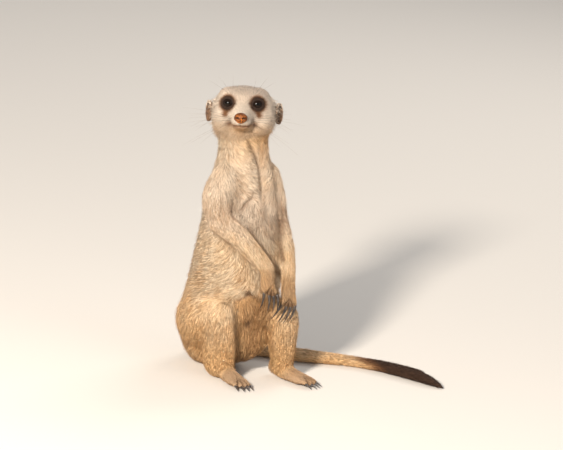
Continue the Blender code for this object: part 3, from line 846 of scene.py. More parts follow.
# %% Values, steps and graphs
class Value:
    """An output socket that takes part in arithmetic."""

    def __init__(self, graph, socket):
        self.graph, self.socket = graph, socket

    def maths(self, operation, *others):
        return self.graph.put("ShaderNodeMath", {"operation": operation},
                              dict(enumerate((self, *others))))[0]

    def __add__(self, other):
        return self.maths("ADD", other)

    def __mul__(self, other):
        return self.maths("MULTIPLY", other)

    def __sub__(self, other):
        return self.maths("SUBTRACT", other)

    def __rsub__(self, other):
        return self * -1 + other

    def __gt__(self, other):
        return self.maths("GREATER_THAN", other)

    __radd__ = __add__
    __rmul__ = __mul__

    def ramp(self, low, high):
        """0 at low, 1 at high, smooth between."""
        return self.graph.put("ShaderNodeMapRange", {"interpolation_type": "SMOOTHSTEP"},
                              {"Value": self, "From Min": low, "From Max": high})[0]

    def moved(self, other, operation="ADD", output="Vector"):
        """Vector maths with another vector."""
        return self.graph.put("ShaderNodeVectorMath", {"operation": operation},
                              {0: self, 1: other})[output]

    def scaled(self, by):
        """This vector or colour times a number."""
        return self.graph.put("ShaderNodeVectorMath", {"operation": "SCALE"},
                              {0: self, "Scale": by})["Vector"]


class Step:
    """A node whose outputs are read by name or number."""

    def __init__(self, graph, node):
        self.graph, self.node = graph, node

    def __getitem__(self, output):
        return Value(self.graph, self.node.outputs[output])


class Graph:
    def __init__(self, tree):
        self.tree = tree

    def put(self, kind, settings=None, sockets=None):
        node = self.tree.nodes.new(kind)
        for name, value in (settings or {}).items():
            setattr(node, name, value)
        for name, value in (sockets or {}).items():
            if isinstance(value, Value):
                self.tree.links.new(value.socket, node.inputs[name])
            else:
                node.inputs[name].default_value = value
        return Step(self, node)

    def out(self, kind, **sockets):
        """The first output of a node that needs no settings, fed by name."""
        return self.put(kind, None, {k.replace("_", " "): v for k, v in sockets.items()})[0]

    def mix(self, share, first, second, blend="MIX"):
        """Colours: all of the first at share 0, all of the second at share 1."""
        return self.put("ShaderNodeMix", {"data_type": "RGBA", "blend_type": blend},
                        {0: share, 6: first, 7: second})[2]

    def noise(self, place, scale, detail=2.0, output=0):
        sockets = {"Vector": place, "Scale": scale, "Detail": detail}
        return self.put("ShaderNodeTexNoise", None, sockets)[output]

    def place(self):
        """Where a shaded point lies in its object."""
        return self.put("ShaderNodeTexCoord")["Object"]

    def written(self, name, output="Fac"):
        """A field that was written on the mesh, for a shader."""
        return self.put("ShaderNodeAttribute", {"attribute_name": name})[output]

    def bump(self, height, strength, distance):
        return self.put("ShaderNodeBump", None, {
            "Height": height, "Strength": strength, "Distance": distance})["Normal"]

    def joined(self, x, y, z):
        return self.put("ShaderNodeCombineXYZ", None, {0: x, 1: y, 2: z})[0]

    def parted(self, arrow):
        parts = self.put("ShaderNodeSeparateXYZ", None, {0: arrow})
        return parts[0], parts[1], parts[2]


def material(name, **constants):
    """A new Principled material: its graph and its shader node."""
    made = bpy.data.materials.new(name)
    made.use_nodes = True
    shader = made.node_tree.nodes["Principled BSDF"]
    for socket, value in constants.items():
        shader.inputs[socket.replace("_", " ")].default_value = value
    return made, Graph(made.node_tree), shader


def wire(graph, shader, **links):
    for socket, value in links.items():
        graph.tree.links.new(value.socket, shader.inputs[socket.replace("_", " ")])


print("a graph can", [name for name in vars(Graph) if not name.startswith("_")])

# %% [markdown]
# ## Skin and coat colours
# Both materials paint with the same marks in the same order. The skin is a little darker,
# which is painted shade for skin seen between hairs. A hair darkens towards its root,
# partly a darker undercoat and partly painted shade from the hair above, and about one in
# five carries a darker fleck. Locks of hair get painted shade in the gaps between them.

# %% Looks of the skin and the coat
COLOURS = {
    "cream": (0.78, 0.645, 0.475, 1),
    "pale": (0.60, 0.51, 0.42, 1),
    "golden": (0.76, 0.44, 0.165, 1),
    "grey": (0.60, 0.49, 0.41, 1),
    "brown": (0.23, 0.10, 0.040, 1),
    "black": (0.020, 0.012, 0.009, 1),
}
STRENGTHS = {"golden": 0.75, "pale": 0.95, "grey": 0.85, "brown": 1.0, "black": 1.0}
FLECK = (0.60, 0.42, 0.28, 1)
LOCK_SCALE = 900.0
LOCK_EDGE = (0.44, 0.54)  # between these the streaks go from gap to lock


def painted(graph):
    """The coat's colour from its marks, with slow patches of warmer and cooler hair."""
    place = graph.place()
    slow = graph.noise(place, 60.0).ramp(0.35, 0.65)
    colour = graph.mix(slow * 0.25, COLOURS["cream"], COLOURS["golden"])
    for name, strength in STRENGTHS.items():
        colour = graph.mix(graph.written(name) * strength, colour, COLOURS[name])
    return colour, place


skin_look, graph, shader = material("skin_look", Roughness=0.8, Specular_IOR_Level=0.2)
colour, place = painted(graph)
streak = graph.noise(place, LOCK_SCALE, detail=3.0)
# Painted shade: the skin's colour is darkened, as skin between hairs lies in their shade.
wire(graph, shader, Base_Color=colour.scaled(streak * 0.5 + 0.42),
     Normal=graph.bump(streak, 0.5, 0.4 * MM))
skin.data.materials.clear()
skin.data.materials.append(skin_look)

coat_look, graph, shader = material("coat_look", Roughness=0.62, Specular_IOR_Level=0.28)
colour, place = painted(graph)
along, chance, lock = (graph.written(name) for name in ("along", "chance", "lock"))
plain = 1 - graph.written("pale") * 0.6
flecks = chance.ramp(0.80, 0.95) * (graph.noise(place, 30.0).ramp(0.3, 0.7) * 0.5 + 0.35) * plain
colour = graph.mix(flecks, colour, graph.mix(1.0, colour, FLECK, "MULTIPLY"))
# Darker towards the root: partly a darker undercoat, partly painted shade from the hair above.
dark_root = (1 - along.ramp(-0.1, 0.75)) * 0.28 * plain
# Painted shade in the gaps between locks.
lock_gap_shade = (1 - lock.ramp(*LOCK_EDGE)) * 0.35 * plain
shade = (1 - dark_root) * (1.09 - lock_gap_shade) * (chance.ramp(0.35, 0.0) * 0.12 + 1)
wire(graph, shader, Base_Color=colour.scaled(shade))
print("materials:", [m.name for m in bpy.data.materials if m.users])

# %% [markdown]
# ## Tools for geometry trees
# The coat and the whiskers are grown by geometry trees. These few functions stand for
# what such trees do again and again: read a field, store one, draw a chance, set copies
# of a shape on points, and finish with smooth faces that wear a look.

# %% Read, store, draw and set out
PATCH = 0.003  # width of a hair's place on the map, as a share of the map
QUICK_SHARE = 1.0
GUARD_FROM = 0.9  # chance above which a hair is a long guard hair
ROOT_SINK = 0.03 * MM  # how far a root starts under the skin
FLOOR_GUARD = 0.15 * MM  # no tuft goes lower than this
LOCK_STEPS = (-6.0, -4.5, -3.0, -1.5, 0.0, 1.5, 3.0, 4.5, 6.0)  # along the comb, in mm


def named(graph, name, kind="FLOAT"):
    """A field that was written on the mesh, for a geometry tree."""
    return graph.put("GeometryNodeInputNamedAttribute", {"data_type": kind}, {"Name": name})[0]


def arrow_named(graph, name):
    return named(graph, name, "FLOAT_VECTOR")


def store(graph, geometry, name, value, kind="FLOAT", domain="POINT"):
    return graph.put("GeometryNodeStoreNamedAttribute", {"data_type": kind, "domain": domain},
                     {"Geometry": geometry, "Name": name, "Value": value})[0]


def without(graph, geometry, *names):
    """Drops fields that are no longer needed, which keeps the mesh light."""
    for name in names:
        geometry = graph.out("GeometryNodeRemoveAttribute", Geometry=geometry, Name=name)
    return geometry


def chance_of(graph, low, high, seed, kind="FLOAT"):
    """A number, or an arrow, drawn at random for each element."""
    sockets, out = ((0, 1), 0) if kind == "FLOAT_VECTOR" else ((2, 3), 1)
    return graph.put("FunctionNodeRandomValue", {"data_type": kind},
                     {sockets[0]: low, sockets[1]: high, "Seed": seed})[out]


def set_out(graph, points, shape, turn, size):
    """A copy of the shape on each point, as one plain mesh."""
    made = graph.out("GeometryNodeInstanceOnPoints", Points=points, Instance=shape,
                     Rotation=turn, Scale=size)
    return graph.out("GeometryNodeRealizeInstances", Geometry=made)


def turned(graph, way, other, second="Y"):
    """The turn that points an upright shape along a way."""
    return graph.put("FunctionNodeAxesToRotation",
                     {"primary_axis": "Z", "secondary_axis": second}, {0: way, 1: other})[0]


def finished(graph, geometry, look):
    """The tree's way out: smooth faces that wear the look."""
    smooth = graph.out("GeometryNodeSetShadeSmooth", Geometry=geometry)
    made = graph.out("GeometryNodeSetMaterial", Geometry=smooth, Material=look)
    graph.put("NodeGroupOutput", None, {0: made})


def tree_with(name, inputs):
    """An empty geometry tree with these named inputs, and its way in."""
    tree = bpy.data.node_groups.new(name, "GeometryNodeTree")
    for way in ("INPUT", "OUTPUT"):
        tree.interface.new_socket("Geometry", in_out=way, socket_type="NodeSocketGeometry")
    for label, kind in inputs.items():
        tree.interface.new_socket(label, in_out="INPUT", socket_type=kind)
    graph = Graph(tree)
    return tree, graph, graph.put("NodeGroupInput")


print("tufts are grown at", QUICK_SHARE, "of their number")

# %% [markdown]
# ## Growing the coat
# One geometry tree grows every piece of the coat. It scatters roots over the chosen
# faces of the skin, sets a slim three-sided tuft on each along the comb, then lays each
# tuft's middle and tip down on the skin again, so long hair follows a curved flank. The
# tuft rises from under the skin to the height that the outline leaves for the coat.

# %% The tree that grows the coat
def tuft_shape(graph):
    """A three-sided blade, 1 long, that remembers its own coordinates."""
    blade = graph.put("GeometryNodeMeshCone", {"fill_type": "NGON"}, {
        "Vertices": 3, "Side Segments": 2, "Fill Segments": 1,
        "Radius Top": 0.0, "Radius Bottom": 0.5, "Depth": 1.0,
    })["Mesh"]
    x, y, z = graph.parted(graph.out("GeometryNodeInputPosition"))
    fuller = z.ramp(0.0, 0.5) * 0.75 + 0.85
    blade = graph.out("GeometryNodeSetPosition", Geometry=blade,
                      Position=graph.joined(x * fuller, y * fuller, z))
    blade = store(graph, blade, "along", z)
    aside = graph.joined(x, z * 0.8 - 0.4 + y * 0.4, 0.0)
    return store(graph, blade, "aside", aside, "FLOAT_VECTOR")


def coat_tree():
    tree, graph, given = tree_with("grow the coat", {
        "Piece": "NodeSocketInt", "Share": "NodeSocketFloat", "Stoutness": "NodeSocketFloat",
        "Seed": "NodeSocketInt", "Look": "NodeSocketMaterial",
    })
    body = given["Geometry"]
    chosen = graph.put("FunctionNodeCompare", {"data_type": "INT", "operation": "EQUAL"},
                       {2: named(graph, "coat_piece", "INT"), 3: given["Piece"]})[0]
    points = graph.out("GeometryNodeDistributePointsOnFaces", Mesh=body, Selection=chosen,
                       Seed=given["Seed"], Density=named(graph, "coat_density") * given["Share"])
    place = graph.out("GeometryNodeInputPosition")
    points = store(graph, points, "root", place, "FLOAT_VECTOR")
    points = store(graph, points, "root_map", arrow_named(graph, MAP_NAME), "FLOAT_VECTOR")
    points = without(graph, points, MAP_NAME)
    points = store(graph, points, "chance", chance_of(graph, 0.0, 1.0, 11))

    # Locks: noise averaged along the comb, so it makes streaks that follow the hair.
    comb = arrow_named(graph, "comb")
    lock = sum(graph.noise(place.moved(comb.scaled(step * MM)), LOCK_SCALE, detail=1.0)
               * (1 / len(LOCK_STEPS)) for step in LOCK_STEPS)
    points = store(graph, points, "lock", lock)

    # Which way each tuft lies: the comb, a slow wobble that makes locks, and its own whim.
    wobble = graph.noise(place, 95.0, output="Color").moved((-0.5, -0.5, -0.5)).scaled(0.45)
    whim = chance_of(graph, (-1, -1, -1), (1, 1, 1), 12, "FLOAT_VECTOR").scaled(0.16)
    lie = comb.moved(wobble).moved(whim)
    normal = arrow_named(graph, "skin_normal")
    against = lie.moved(normal, "DOT_PRODUCT", "Value")
    lie = lie.moved(normal.scaled(against * -1)).moved((0, 0, 0), "NORMALIZE")
    guard = named(graph, "chance") > GUARD_FROM
    long = named(graph, "coat_length") * chance_of(graph, 0.68, 1.12, 13) * (1 + guard * 0.22)
    points = store(graph, points, "stroke", lie.scaled(long), "FLOAT_VECTOR")
    rise = chance_of(graph, 0.35, 0.9, 14) + guard * 0.6
    rise *= named(graph, "lock").ramp(*LOCK_EDGE) * 0.55 + 0.7
    points = store(graph, points, "rise", named(graph, "coat_lift") * rise)

    thick = named(graph, "coat_width") * given["Stoutness"] * (1 - guard * 0.3)
    tufts = set_out(graph, points, tuft_shape(graph), turned(graph, lie, normal),
                    graph.joined(thick, thick * 0.42, long))

    # Lay the spine of each tuft on the skin, and lift it as it nears the tip.
    along, root = named(graph, "along"), arrow_named(graph, "root")
    spine = root.moved(arrow_named(graph, "stroke").scaled(along))
    off_spine = place.moved(spine, "SUBTRACT")
    under = graph.put("GeometryNodeProximity", {"target_element": "FACES"},
                      {0: body, "Sample Position": spine})[0]
    outward = graph.put("GeometryNodeSampleNearestSurface", {"data_type": "FLOAT_VECTOR"}, {
        "Mesh": body, "Value": normal, "Sample Position": spine})[0]
    rise = named(graph, "rise") * (along.ramp(-0.15, 1.0) - 0.07) - ROOT_SINK
    x, y, z = graph.parted(under.moved(outward.scaled(rise)).moved(off_spine))
    tufts = graph.out("GeometryNodeSetPosition", Geometry=tufts,
                      Position=graph.joined(x, y, z.maths("MAXIMUM", FLOOR_GUARD)))
    patch = arrow_named(graph, "root_map").moved(arrow_named(graph, "aside").scaled(PATCH))
    tufts = store(graph, tufts, MAP_NAME, patch, "FLOAT2", "CORNER")
    tufts = without(graph, tufts, "root", "root_map", "stroke", "rise", "aside", "comb",
                    "skin_normal", "coat_length", "coat_density", "coat_width", "coat_lift")
    finished(graph, tufts, given["Look"])
    return tree


def grown(name, source, tree, **inputs):
    """A new object made by a geometry tree from a source mesh, as a plain mesh."""
    made = new_object(name, source.data.copy())
    modifier = made.modifiers.new("grow", "NODES")
    modifier.node_group = tree
    for item in tree.interface.items_tree:
        if item.item_type == "SOCKET" and item.in_out == "INPUT" and item.name in inputs:
            modifier[item.identifier] = inputs[item.name]
    made.data.update_tag()
    return applied(made)


def grown_coat(name, roots, **inputs):
    return grown(name, roots, COAT_TREE, Stoutness=1 / math.sqrt(QUICK_SHARE),
                 Look=coat_look, **inputs)


def write_pieces(mesh, pieces):
    """The number of the coat's piece that grows on each face."""
    made = mesh.attributes.new("coat_piece", "INT", "FACE")
    made.data.foreach_set("value", np.asarray(pieces, np.int32))


COAT_TREE = coat_tree()
print("the coat's tree has", len(COAT_TREE.nodes), "nodes")

# %% [markdown]
# ## The coat's pieces
# The coat is cut into pieces by the part of the body that the hair grows on, so no mesh
# gets too heavy to open. Each piece has its own seed and an upper limit on its tufts.

# %% Grow each piece
PIECES = ["coat_face", "coat_crown", "coat_neck", "coat_chest", "coat_waist", "coat_rump",
          "coat_arms", "coat_leg_left", "coat_leg_right", "coat_paws", "coat_tail"]
MOST_TUFTS = 19200
piece = np.full(len(sunk), PIECES.index("coat_waist"))


def give(name, *chosen):
    """Puts the hair of the chosen vertices into a piece."""
    for those in chosen:
        piece[those] = PIECES.index(name)


give("coat_chest", height > 128)
give("coat_rump", height < 62)
give("coat_neck", home == "neck")
give("coat_crown", home == "head")
give("coat_face", (home == "head") & (head_x > -9))
for side in SIDES:
    give("coat_arms", home == f"arm_{side}")
    give(f"coat_leg_{side}", home == f"thigh_{side}", home == f"shank_{side}")
    give("coat_paws", home == f"foot_{side}")
give("coat_paws", (piece == PIECES.index("coat_arms")) & (height < 100))
give("coat_tail", home == "tail")

# The coat stands higher on the ruff and temple, and fills the gap between the hands.
hand_gap = np.exp(-(near_line(body_places, [(57, 12, 77), (57, 11.5, 104)])[0] / 5) ** 2)
length += 3.0 * hand_gap
lift = spread(head_share * (2.0 * ruff + 2.8 * temple + 0.8 * fringe), skin_edges, 3)
lift += np.clip(depth, 0.35, None) + 3.8 * hand_gap
root_skin = new_object("root_skin", skin.data.copy())
for name, field in {
    "comb": comb, "skin_normal": normals, "coat_length": length * MM,
    "coat_width": width * MM, "coat_lift": lift * MM, "coat_density": density / MM**2,
}.items():
    write(root_skin.data, name, field)

areas = read(skin.data.polygons, "area") / MM**2
first_corner = read(skin.data.polygons, "loop_start", kind=np.int32)
face_vertex = read(skin.data.loops, "vertex_index", kind=np.int32)[first_corner]
face_piece = piece[face_vertex]
write_pieces(root_skin.data, face_piece)
coats = []
for k, name in enumerate(PIECES):
    inside = face_piece == k
    expected = float((areas * density[face_vertex])[inside].sum())
    share = min(1, MOST_TUFTS / expected) * QUICK_SHARE
    coats.append(grown_coat(name, root_skin, Piece=k, Share=share, Seed=100 + k))
    print(f"{name:14} area {areas[inside].sum():7.0f} mm2, wanted {expected:7.0f} tufts,"
          f" triangles {triangles_in(coats[-1].data):7}")
bpy.data.objects.remove(root_skin)
print("coat triangles in all:", sum(triangles_in(coat.data) for coat in coats))

# %% [markdown]
# ## Eyes
# A meerkat's eye looks black from any distance: a dark brown iris with a flat, wide
# pupil, under a wet cornea. The ball is a true ball behind the lids with a slight swell
# in front. Its look reads the place on the ball along the gaze, so iris and pupil stay
# put. A soft rim of dark, bare skin lines the lids.

# %% Eyeballs and lid rims
RIM_STATIONS = 72
RIM_OUT = 0.18  # how far the rim's middle stands out of the eyeball


def band(bm, low, high):
    """Four-sided faces between two rings of vertices."""
    for k in range(len(low)):
        after = (k + 1) % len(low)
        bm.faces.new((low[k], low[after], high[after], high[k]))


def tube(name, line, radii, sides=8, closed=False):
    """A round tube along a line of places, closed on itself or capped at both ends."""
    line = np.array(line, float)
    if closed:
        ways = unit(np.roll(line, -1, axis=0) - np.roll(line, 1, axis=0))
    else:
        ways = unit(np.gradient(line, axis=0))
    bm = bmesh.new()
    rings, aside = [], None
    for place, way, radius in zip(line, ways, radii):
        if aside is None:
            aside = np.cross(way, (0.3, 0.2, 1.0))
        aside = unit(aside - way * (aside @ way))
        other = np.cross(way, aside)
        turns = [2 * math.pi * k / sides for k in range(sides)]
        spots = [place + radius * (aside * math.cos(t) + other * math.sin(t)) for t in turns]
        rings.append([bm.verts.new(spot * MM) for spot in spots])
    for low, high in zip(rings, rings[1:] + rings[:1] * closed):
        band(bm, low, high)
    if not closed:
        bm.faces.new(list(reversed(rings[0])))
        bm.faces.new(rings[-1])
    return object_from(bm, name)


def ball(name, rows=40, points=64):
    """A ball with a radius of one, and its places."""
    bm = bmesh.new()
    bmesh.ops.create_uvsphere(bm, u_segments=points, v_segments=rows, radius=1)
    made = object_from(bm, name)
    return made, places_of(made.data) * MM


def eye_look(name):
    look, graph, shader = material(name, Roughness=0.15, IOR=1.24)
    on_ball = graph.written("on_ball", "Vector")
    across, up, _ = graph.parted(on_ball)
    iris_far = (across * across + up * up).maths("SQRT")
    pupil_far = (across * across * 0.55 + up * up * 1.7).maths("SQRT")
    strands = graph.noise(on_ball.moved((9.0, 9.0, 0.4), "MULTIPLY"), 3.0, detail=4.0)
    colour = graph.mix(strands.ramp(0.3, 0.7), (0.005, 0.0026, 0.0015, 1), (0.012, 0.0055, 0.0026, 1))
    colour = graph.mix(iris_far.ramp(0.56, 0.64), colour, (0.010, 0.006, 0.005, 1))
    colour = graph.mix(pupil_far.ramp(0.36, 0.30), colour, (0.0015, 0.0012, 0.001, 1))
    wire(graph, shader, Base_Color=colour)
    return look


lid_look, graph, shader = material("lid_look", Roughness=0.7, Specular_IOR_Level=0.08)
wet = graph.noise(graph.place(), 2600.0)
wire(graph, shader, Base_Color=graph.mix(wet, (0.003, 0.002, 0.002, 1), (0.008, 0.005, 0.004, 1)))
pieces_to_ride = []
for side, (middle, turn) in EYES.items():
    eye, local = ball(f"eyeball_{side}")
    swell = 1 + 0.045 * np.exp(-((1 - local[:, 2]) / 0.16))
    put_places(eye.data, middle + (local * (EYE_BALL * swell)[:, None]) @ turn.T)
    write(eye.data, "on_ball", local)
    eye.data.materials.append(eye_look(f"eye_look_{side}"))
    around = np.arange(RIM_STATIONS) * 2 * math.pi / RIM_STATIONS
    open_by = np.radians(lid_angle(around) + 1.5)
    spots = np.stack((np.cos(around) * np.sin(open_by), np.sin(around) * np.sin(open_by),
                      np.cos(open_by)), axis=1)
    rim = tube(f"lid_rim_{side}", middle + spots * (EYE_BALL + RIM_OUT) @ turn.T,
               0.20 + 0.10 * np.maximum(0, np.sin(around)), closed=True)
    rim.data.materials.append(lid_look)
    pieces_to_ride += [(eye, f"eye_{side}", "eye_brown"), (rim, None, "skin_dark")]
    print(f"the {side} eye looks along", np.round(turn[:, 2], 2))

# %% [markdown]
# ## Nose
# A leathery pad with comma-shaped nostrils that open to the sides, a groove down its
# middle, and an amber-brown, grainy surface. It is a ball pressed in and out along its
# own directions: every dent is a soft spot of known place and width.

# %% The nose pad
NOSE_PLACE, NOSE_SIZE = np.array((22.6, 0, -13.2)), np.array((4.3, 6.0, 4.9))
nose, local = ball("nose_pad", rows=72, points=96)
local = local[:, [2, 0, 1]]
x, y, z = local.T
sides = np.abs(y)
size = 1 - 0.16 * ramp(z, -0.2, -1.0) * ramp(sides, 0.2, 0.9)
size *= 1 + 0.05 * np.exp(-((sides - 0.55) / 0.25) ** 2 - ((z - 0.15) / 0.4) ** 2)
nostril = near_line(np.stack((sides, z), axis=1), [(0.36, -0.06), (0.52, 0.10), (0.78, 0.02)])[0]
front = ramp(x, -0.1, 0.3)
hole = np.exp(-(nostril / 0.13) ** 2) * front
slit = np.exp(-(sides / 0.06) ** 2) * ramp(z, 0.15, -0.3) * front
grain = 0.012 * (np.sin(29 * y + 3 * z) * np.sin(31 * z - 4 * y))
size += grain * (1 - hole) - 0.34 * hole - 0.13 * slit
shape = NOSE_PLACE + local * size[:, None] * NOSE_SIZE
put_places(nose.data, SHIFT + HEAD_PLACE + shape @ HEAD.T)
# Painted shade: the nostrils and the groove down the middle are painted near-black inside.
write(nose.data, "hole", np.clip(hole * 1.25 + 0.7 * slit, 0, 1))
write(nose.data, "amber", ramp(z, 0.85, 0.1) * ramp(sides, 1.0, 0.6))
look, graph, shader = material("nose_look", Roughness=0.5, Specular_IOR_Level=0.22)
grains = graph.noise(graph.place(), 2300.0)
amber = grains.ramp(0.47, 0.66) * (graph.written("amber") * 0.75 + 0.25)
colour = graph.mix(amber, (0.045, 0.014, 0.006, 1), (0.60, 0.18, 0.018, 1))
colour = graph.mix(graph.written("hole"), colour, (0.010, 0.005, 0.004, 1))
wire(graph, shader, Base_Color=colour, Normal=graph.bump(grains, 0.6, 0.2 * MM))
nose.data.materials.append(look)
pieces_to_ride.append((nose, "nose", "nose_brown"))
print("the nose pad is", np.round(np.ptp(shape, axis=0), 1), "mm deep, wide and high")

# %% [markdown]
# ## Ears
# Small, dark crescents set low on the sides of the head. The dish is a sheet bent into a
# shallow bowl with two ridges inside and a rolled rim, closed behind so that it has a
# thickness, and it carries its own short hair.

# %% The ear dishes
EAR_PLACE = np.array((-22.0, 30.8, -9.7))
EAR_LEAN = math.radians(26)


def ear_place(reach, angle, behind):
    """A place on the right or left bowl: forward, out and up from the ear's middle."""
    across, up = reach * math.sin(angle), reach * math.cos(angle)
    tall = 9.6 if up > 0 else 8.8
    wide = 5.4 if across > 0 else 6.0
    fold = 0.55 * math.cos(9 * across + 2.5 * up) * math.exp(-((reach - 0.55) / 0.25) ** 2)
    rolled = 0.9 * math.exp(-((reach - 0.95) / 0.10) ** 2)
    out = 2.6 * reach ** 2 - 2.4
    out += -1.3 * (1 - 0.72 * reach ** 4) if behind else fold + rolled
    notch = 0.16 * math.exp(-((angle - math.pi / 2) / 0.35) ** 2) * reach ** 3
    across *= wide * (1 - notch)
    lean_out, lean_on = math.cos(EAR_LEAN), math.sin(EAR_LEAN)
    return EAR_PLACE + (across * lean_out + out * lean_on, out * lean_out - across * lean_on,
                        up * tall)


def ear_dish(name, side, rings=22, points=64):
    """Front and back skins of the bowl, joined round the rim."""
    bm = bmesh.new()

    def corner(*spot):
        forward, out, up = ear_place(*spot)
        return bm.verts.new(on_head(forward, side * out, up) * MM)

    layers = []
    for behind in (False, True):
        hub = corner(0, 0, behind)
        layers.append((hub, [[corner(ring / rings, 2 * math.pi * k / points, behind)
                              for k in range(points)] for ring in range(1, rings + 1)]))
    for hub, rows in layers:
        for k in range(points):
            bm.faces.new((hub, rows[0][k], rows[0][(k + 1) % points]))
        for low, high in zip(rows, rows[1:]):
            band(bm, low, high)
    band(bm, *(rows[-1] for _, rows in layers))
    return object_from(bm, name)


ear_look, graph, shader = material("ear_look", Roughness=0.7, Specular_IOR_Level=0.3)
mottle = graph.noise(graph.place(), 380.0, detail=4.0)
colour = graph.mix(mottle.ramp(0.35, 0.7), (0.022, 0.014, 0.011, 1), (0.115, 0.062, 0.038, 1))
wire(graph, shader, Base_Color=colour, Normal=graph.bump(mottle, 0.4, 0.3 * MM))
ears = [ear_dish(f"ear_dish_{side}", sign) for side, sign in SIDES.items()]
for side, ear in zip(SIDES, ears):
    ear.data.materials.append(ear_look)
    pieces_to_ride.append((ear, f"ear_{side}", "skin_dark"))
print("each ear:", triangles_in(ears[0].data), "triangles")

# %% [markdown]
# ## Ear hair
# The ears wear short hair of their own, which breaks their hard rim. It is pale along
# the upper edge and in front, where the hair of the temple runs on to the ear, and dark
# elsewhere. The same tree grows it, from the two dishes taken together.

# %% Grow the ears' hair
bm = bmesh.new()
for ear in ears:
    bm.from_mesh(ear.data)
mesh = bpy.data.meshes.new("ear_roots")
bm.to_mesh(mesh)
bm.free()
ear_roots = new_object("ear_roots", mesh)
unwrap(ear_roots)
on_ear = in_head(places_of(mesh))
outside = np.sign(on_ear[:, 1])
on_ear[:, 1] *= outside
on_ear -= EAR_PLACE
ear_normals = normals_of(mesh)
ear_comb = np.stack((-0.5 - 0.06 * on_ear[:, 0], outside, -0.3 + 0.09 * on_ear[:, 2]), axis=1)
upper = ramp(on_ear[:, 2], 2.5, 6.5)
edge = np.maximum(upper, 0.4 * ramp(on_ear[:, 0], 2.8, 4.6))
write(mesh, "comb", unit(tangent(ear_comb @ HEAD.T, ear_normals)))
write(mesh, "skin_normal", ear_normals)
for name, values in {
    "coat_length": (3.0 + 1.6 * upper) * MM, "coat_width": 0.36 * MM, "coat_lift": 0.9 * MM,
    "coat_density": 3.0 / MM**2, "pale": 0.9 * edge, "golden": 0.3, "grey": 0.3,
    "brown": 0.85 * (1 - edge), "black": 0.30 * (1 - edge),
}.items():
    write(mesh, name, np.broadcast_to(values, len(on_ear)))
write_pieces(mesh, np.zeros(len(mesh.polygons)))
coats.append(grown_coat("coat_ears", ear_roots, Piece=0, Share=QUICK_SHARE, Seed=90))
bpy.data.objects.remove(ear_roots)
print("ear hair:", triangles_in(coats[-1].data), "triangles")

# %% [markdown]
# ## Claws
# Long, blunt digging claws on the hands and short ones on the feet. The CAD gives their
# place and curve as a few flat facets; here each is swept again as a round, tapering
# horn, through the middles of the CAD claw's own rings.

# %% Sweep the claws
CLAW_STATIONS = 15
horn_look, graph, shader = material("horn_look", Roughness=0.42, Specular_IOR_Level=0.3)
layers = graph.noise(graph.place().moved((1.0, 1.0, 0.35), "MULTIPLY"), 700.0).ramp(0.3, 0.75)
wire(graph, shader, Base_Color=graph.mix(layers, (0.014, 0.012, 0.013, 1), (0.085, 0.068, 0.058, 1)))


def fine_line(values, count):
    """More stations on a smooth curve through a few."""
    steps = np.linspace(0, len(values) - 1, count)
    return np.stack([np.polyval(np.polyfit(range(len(values)), column, 3), steps)
                     for column in values.T], axis=1)


taper = 1 - 0.75 * np.linspace(0, 1, CLAW_STATIONS) ** 5
for claw in [f"{kind}_{side}_{k}" for kind in ("fore", "hind") for side in SIDES for k in DIGITS]:
    middles, radii = claw_line(f"claw_{claw}")
    line = fine_line(middles, CLAW_STATIONS)
    girth = np.interp(np.linspace(0, len(radii) - 1, CLAW_STATIONS), range(len(radii)), radii)
    girth *= taper
    line[:, 2] = np.maximum(line[:, 2], girth + 0.05)
    horn = tube(f"horn_{claw}", line, girth, sides=12)
    horn.data.materials.append(horn_look)
    pieces_to_ride.append((horn, f"claw_{claw}", "claw_horn"))
print("pieces beside the coat:", [made.name for made, _, _ in pieces_to_ride])

# %% [markdown]
# ## Whiskers
# Fine, stiff and dark: rows on each lip, a pair above each eye and one on each cheek.
# Their roots are points with an arrow and a length, and one geometry tree sets a long
# thin spike on each and lets it bow under its own weight.

# %% Grow the whiskers
WHISKERS = [
    # root (forward, out, up), aim (forward, out, up), length, all on the head
    ((16.0, 6.2, -14.6), (-0.10, 1.0, 0.20), 42), ((14.6, 7.2, -13.8), (-0.22, 1.0, 0.34), 46),
    ((15.2, 7.2, -16.2), (-0.05, 1.0, 0.00), 44), ((13.2, 8.2, -15.4), (-0.25, 1.0, 0.10), 48),
    ((11.6, 9.0, -14.6), (-0.40, 1.0, 0.22), 44), ((14.4, 7.8, -18.0), (-0.05, 1.0, -0.30), 43),
    ((12.2, 8.8, -17.4), (-0.28, 1.0, -0.38), 45), ((10.4, 9.6, -17.0), (-0.42, 1.0, -0.55), 38),
    ((17.2, 5.0, -16.8), (0.15, 1.0, -0.12), 26), ((9.6, 9.8, -15.8), (-0.5, 1.0, -0.1), 38),
    ((6.0, 9.0, 7.6), (0.30, 0.10, 1.0), 23), ((5.4, 11.0, 8.0), (0.25, 0.60, 1.0), 25),
    ((5.0, 13.2, 7.8), (0.20, 0.90, 0.8), 21), ((-1.0, 22.5, -13.0), (0.25, 1.0, -0.25), 24),
    ((-1.5, 22.6, -14.4), (0.2, 1.0, -0.55), 22), ((11.0, 3.0, -25.0), (0.4, 0.6, -1.0), 10),
]


